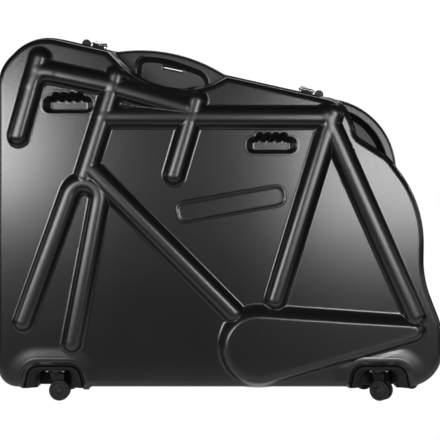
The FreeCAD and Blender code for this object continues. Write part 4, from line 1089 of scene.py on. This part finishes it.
def plain_material(name, shade, shine):
    """Pale stage surface: shaded by the lamps with a faint shine of its own; the camera sees the white behind it."""
    f = Finish(name)
    path = f.node("ShaderNodeLightPath", output="Is Camera Ray")
    shaded = f.node("ShaderNodeBsdfDiffuse", inputs={"Color": (shade, shade, shade, 1)})
    faint = f.node("ShaderNodeEmission", inputs={"Strength": shine})
    lit = f.node("ShaderNodeAddShader", inputs={0: shaded, 1: faint})
    clear = f.node("ShaderNodeBsdfTransparent")
    mixed = f.node("ShaderNodeMixShader", inputs={0: path, 1: lit, 2: clear})
    f.node("ShaderNodeOutputMaterial", inputs={"Surface": mixed})
    return f.material


def ground(name, low, high, level, finish):
    """Flat rectangle of the stage."""
    corners = [(low[0], low[1], level), (high[0], low[1], level), (high[0], high[1], level), (low[0], high[1], level)]
    mesh = bpy.data.meshes.new(name)
    mesh.from_pydata(corners, [], [(0, 1, 2, 3)])
    mesh.materials.append(finish)
    result = linked(name, mesh)
    result.visible_shadow = False


ground("floor", (-6, -6), (6, 6), -0.004, plain_material("pale_floor", 0.06, 0.0))
ground("sheet", (-1.2, -0.6), (1.2, 0.6), -0.001, plain_material("pale_sheet", 0.7, 0.5))

world = bpy.data.worlds.new("studio")
bpy.context.scene.world = world
world.use_nodes = True
nodes, links = world.node_tree.nodes, world.node_tree.links
nodes.clear()
mixer = nodes.new("ShaderNodeMixShader")
links.new(nodes.new("ShaderNodeLightPath").outputs["Is Camera Ray"], mixer.inputs[0])
for socket, shade in ((1, 0.03), (2, 1)):
    background = nodes.new("ShaderNodeBackground")
    background.inputs["Color"].default_value = (shade, shade, shade, 1)
    links.new(background.outputs[0], mixer.inputs[socket])
links.new(mixer.outputs[0], nodes.new("ShaderNodeOutputWorld").inputs["Surface"])


MIDDLE = (0, -0.1, 0.5)


def softbox(name, place, width, height, power):
    """Area lamp that faces the middle of the case: place and sides in metres, power in watts."""
    lamp = bpy.data.lights.new(name, "AREA")
    lamp.shape = "RECTANGLE"
    lamp.size, lamp.size_y = width, height
    lamp.energy = power
    holder = linked(name, lamp)
    holder.location = place
    holder.visible_camera = False
    holder.rotation_euler = (Vector(MIDDLE) - Vector(place)).to_track_quat("-Z", "Y").to_euler()


softbox("left_softbox", (-1.48, -2.9, 0.86), 1.24, 0.55, 50)
softbox("right_softbox", (0.99, -2.9, 0.77), 1.16, 0.70, 42)
softbox("far_left_softbox", (-2.75, -2.35, 0.86), 1.2, 0.8, 24)
softbox("far_right_softbox", (2.1, -2.4, 0.8), 0.9, 0.8, 5)
softbox("side_softbox", (3.0, -1.8, 0.9), 1.0, 1.0, 4)
softbox("left_end_softbox", (-3.4, 0.6, 1.0), 1.6, 1.2, 6)
softbox("right_end_softbox", (3.4, 0.6, 1.0), 1.6, 1.2, 6)
softbox("top_softbox", (0, 2.2, 2.1), 2.6, 1.0, 8)
softbox("front_fill", (0, -3.7, 0.92), 3.0, 0.98, 3)
softbox("back_left_softbox", (-1.3, 2.9, 0.9), 1.2, 0.6, 26)
softbox("back_right_softbox", (1.2, 2.9, 0.8), 1.2, 0.6, 26)

camera_data = bpy.data.cameras.new("camera")
camera_data.sensor_width = 36
camera_data.lens = 97.3
camera = linked("camera", camera_data)
camera.location = (-0.001, -3.2, 0.469)
camera.rotation_euler = (math.radians(90), 0, 0)
bpy.context.scene.camera = camera
bpy.context.scene.view_settings.view_transform = "Standard"

bpy.context.view_layer.update()
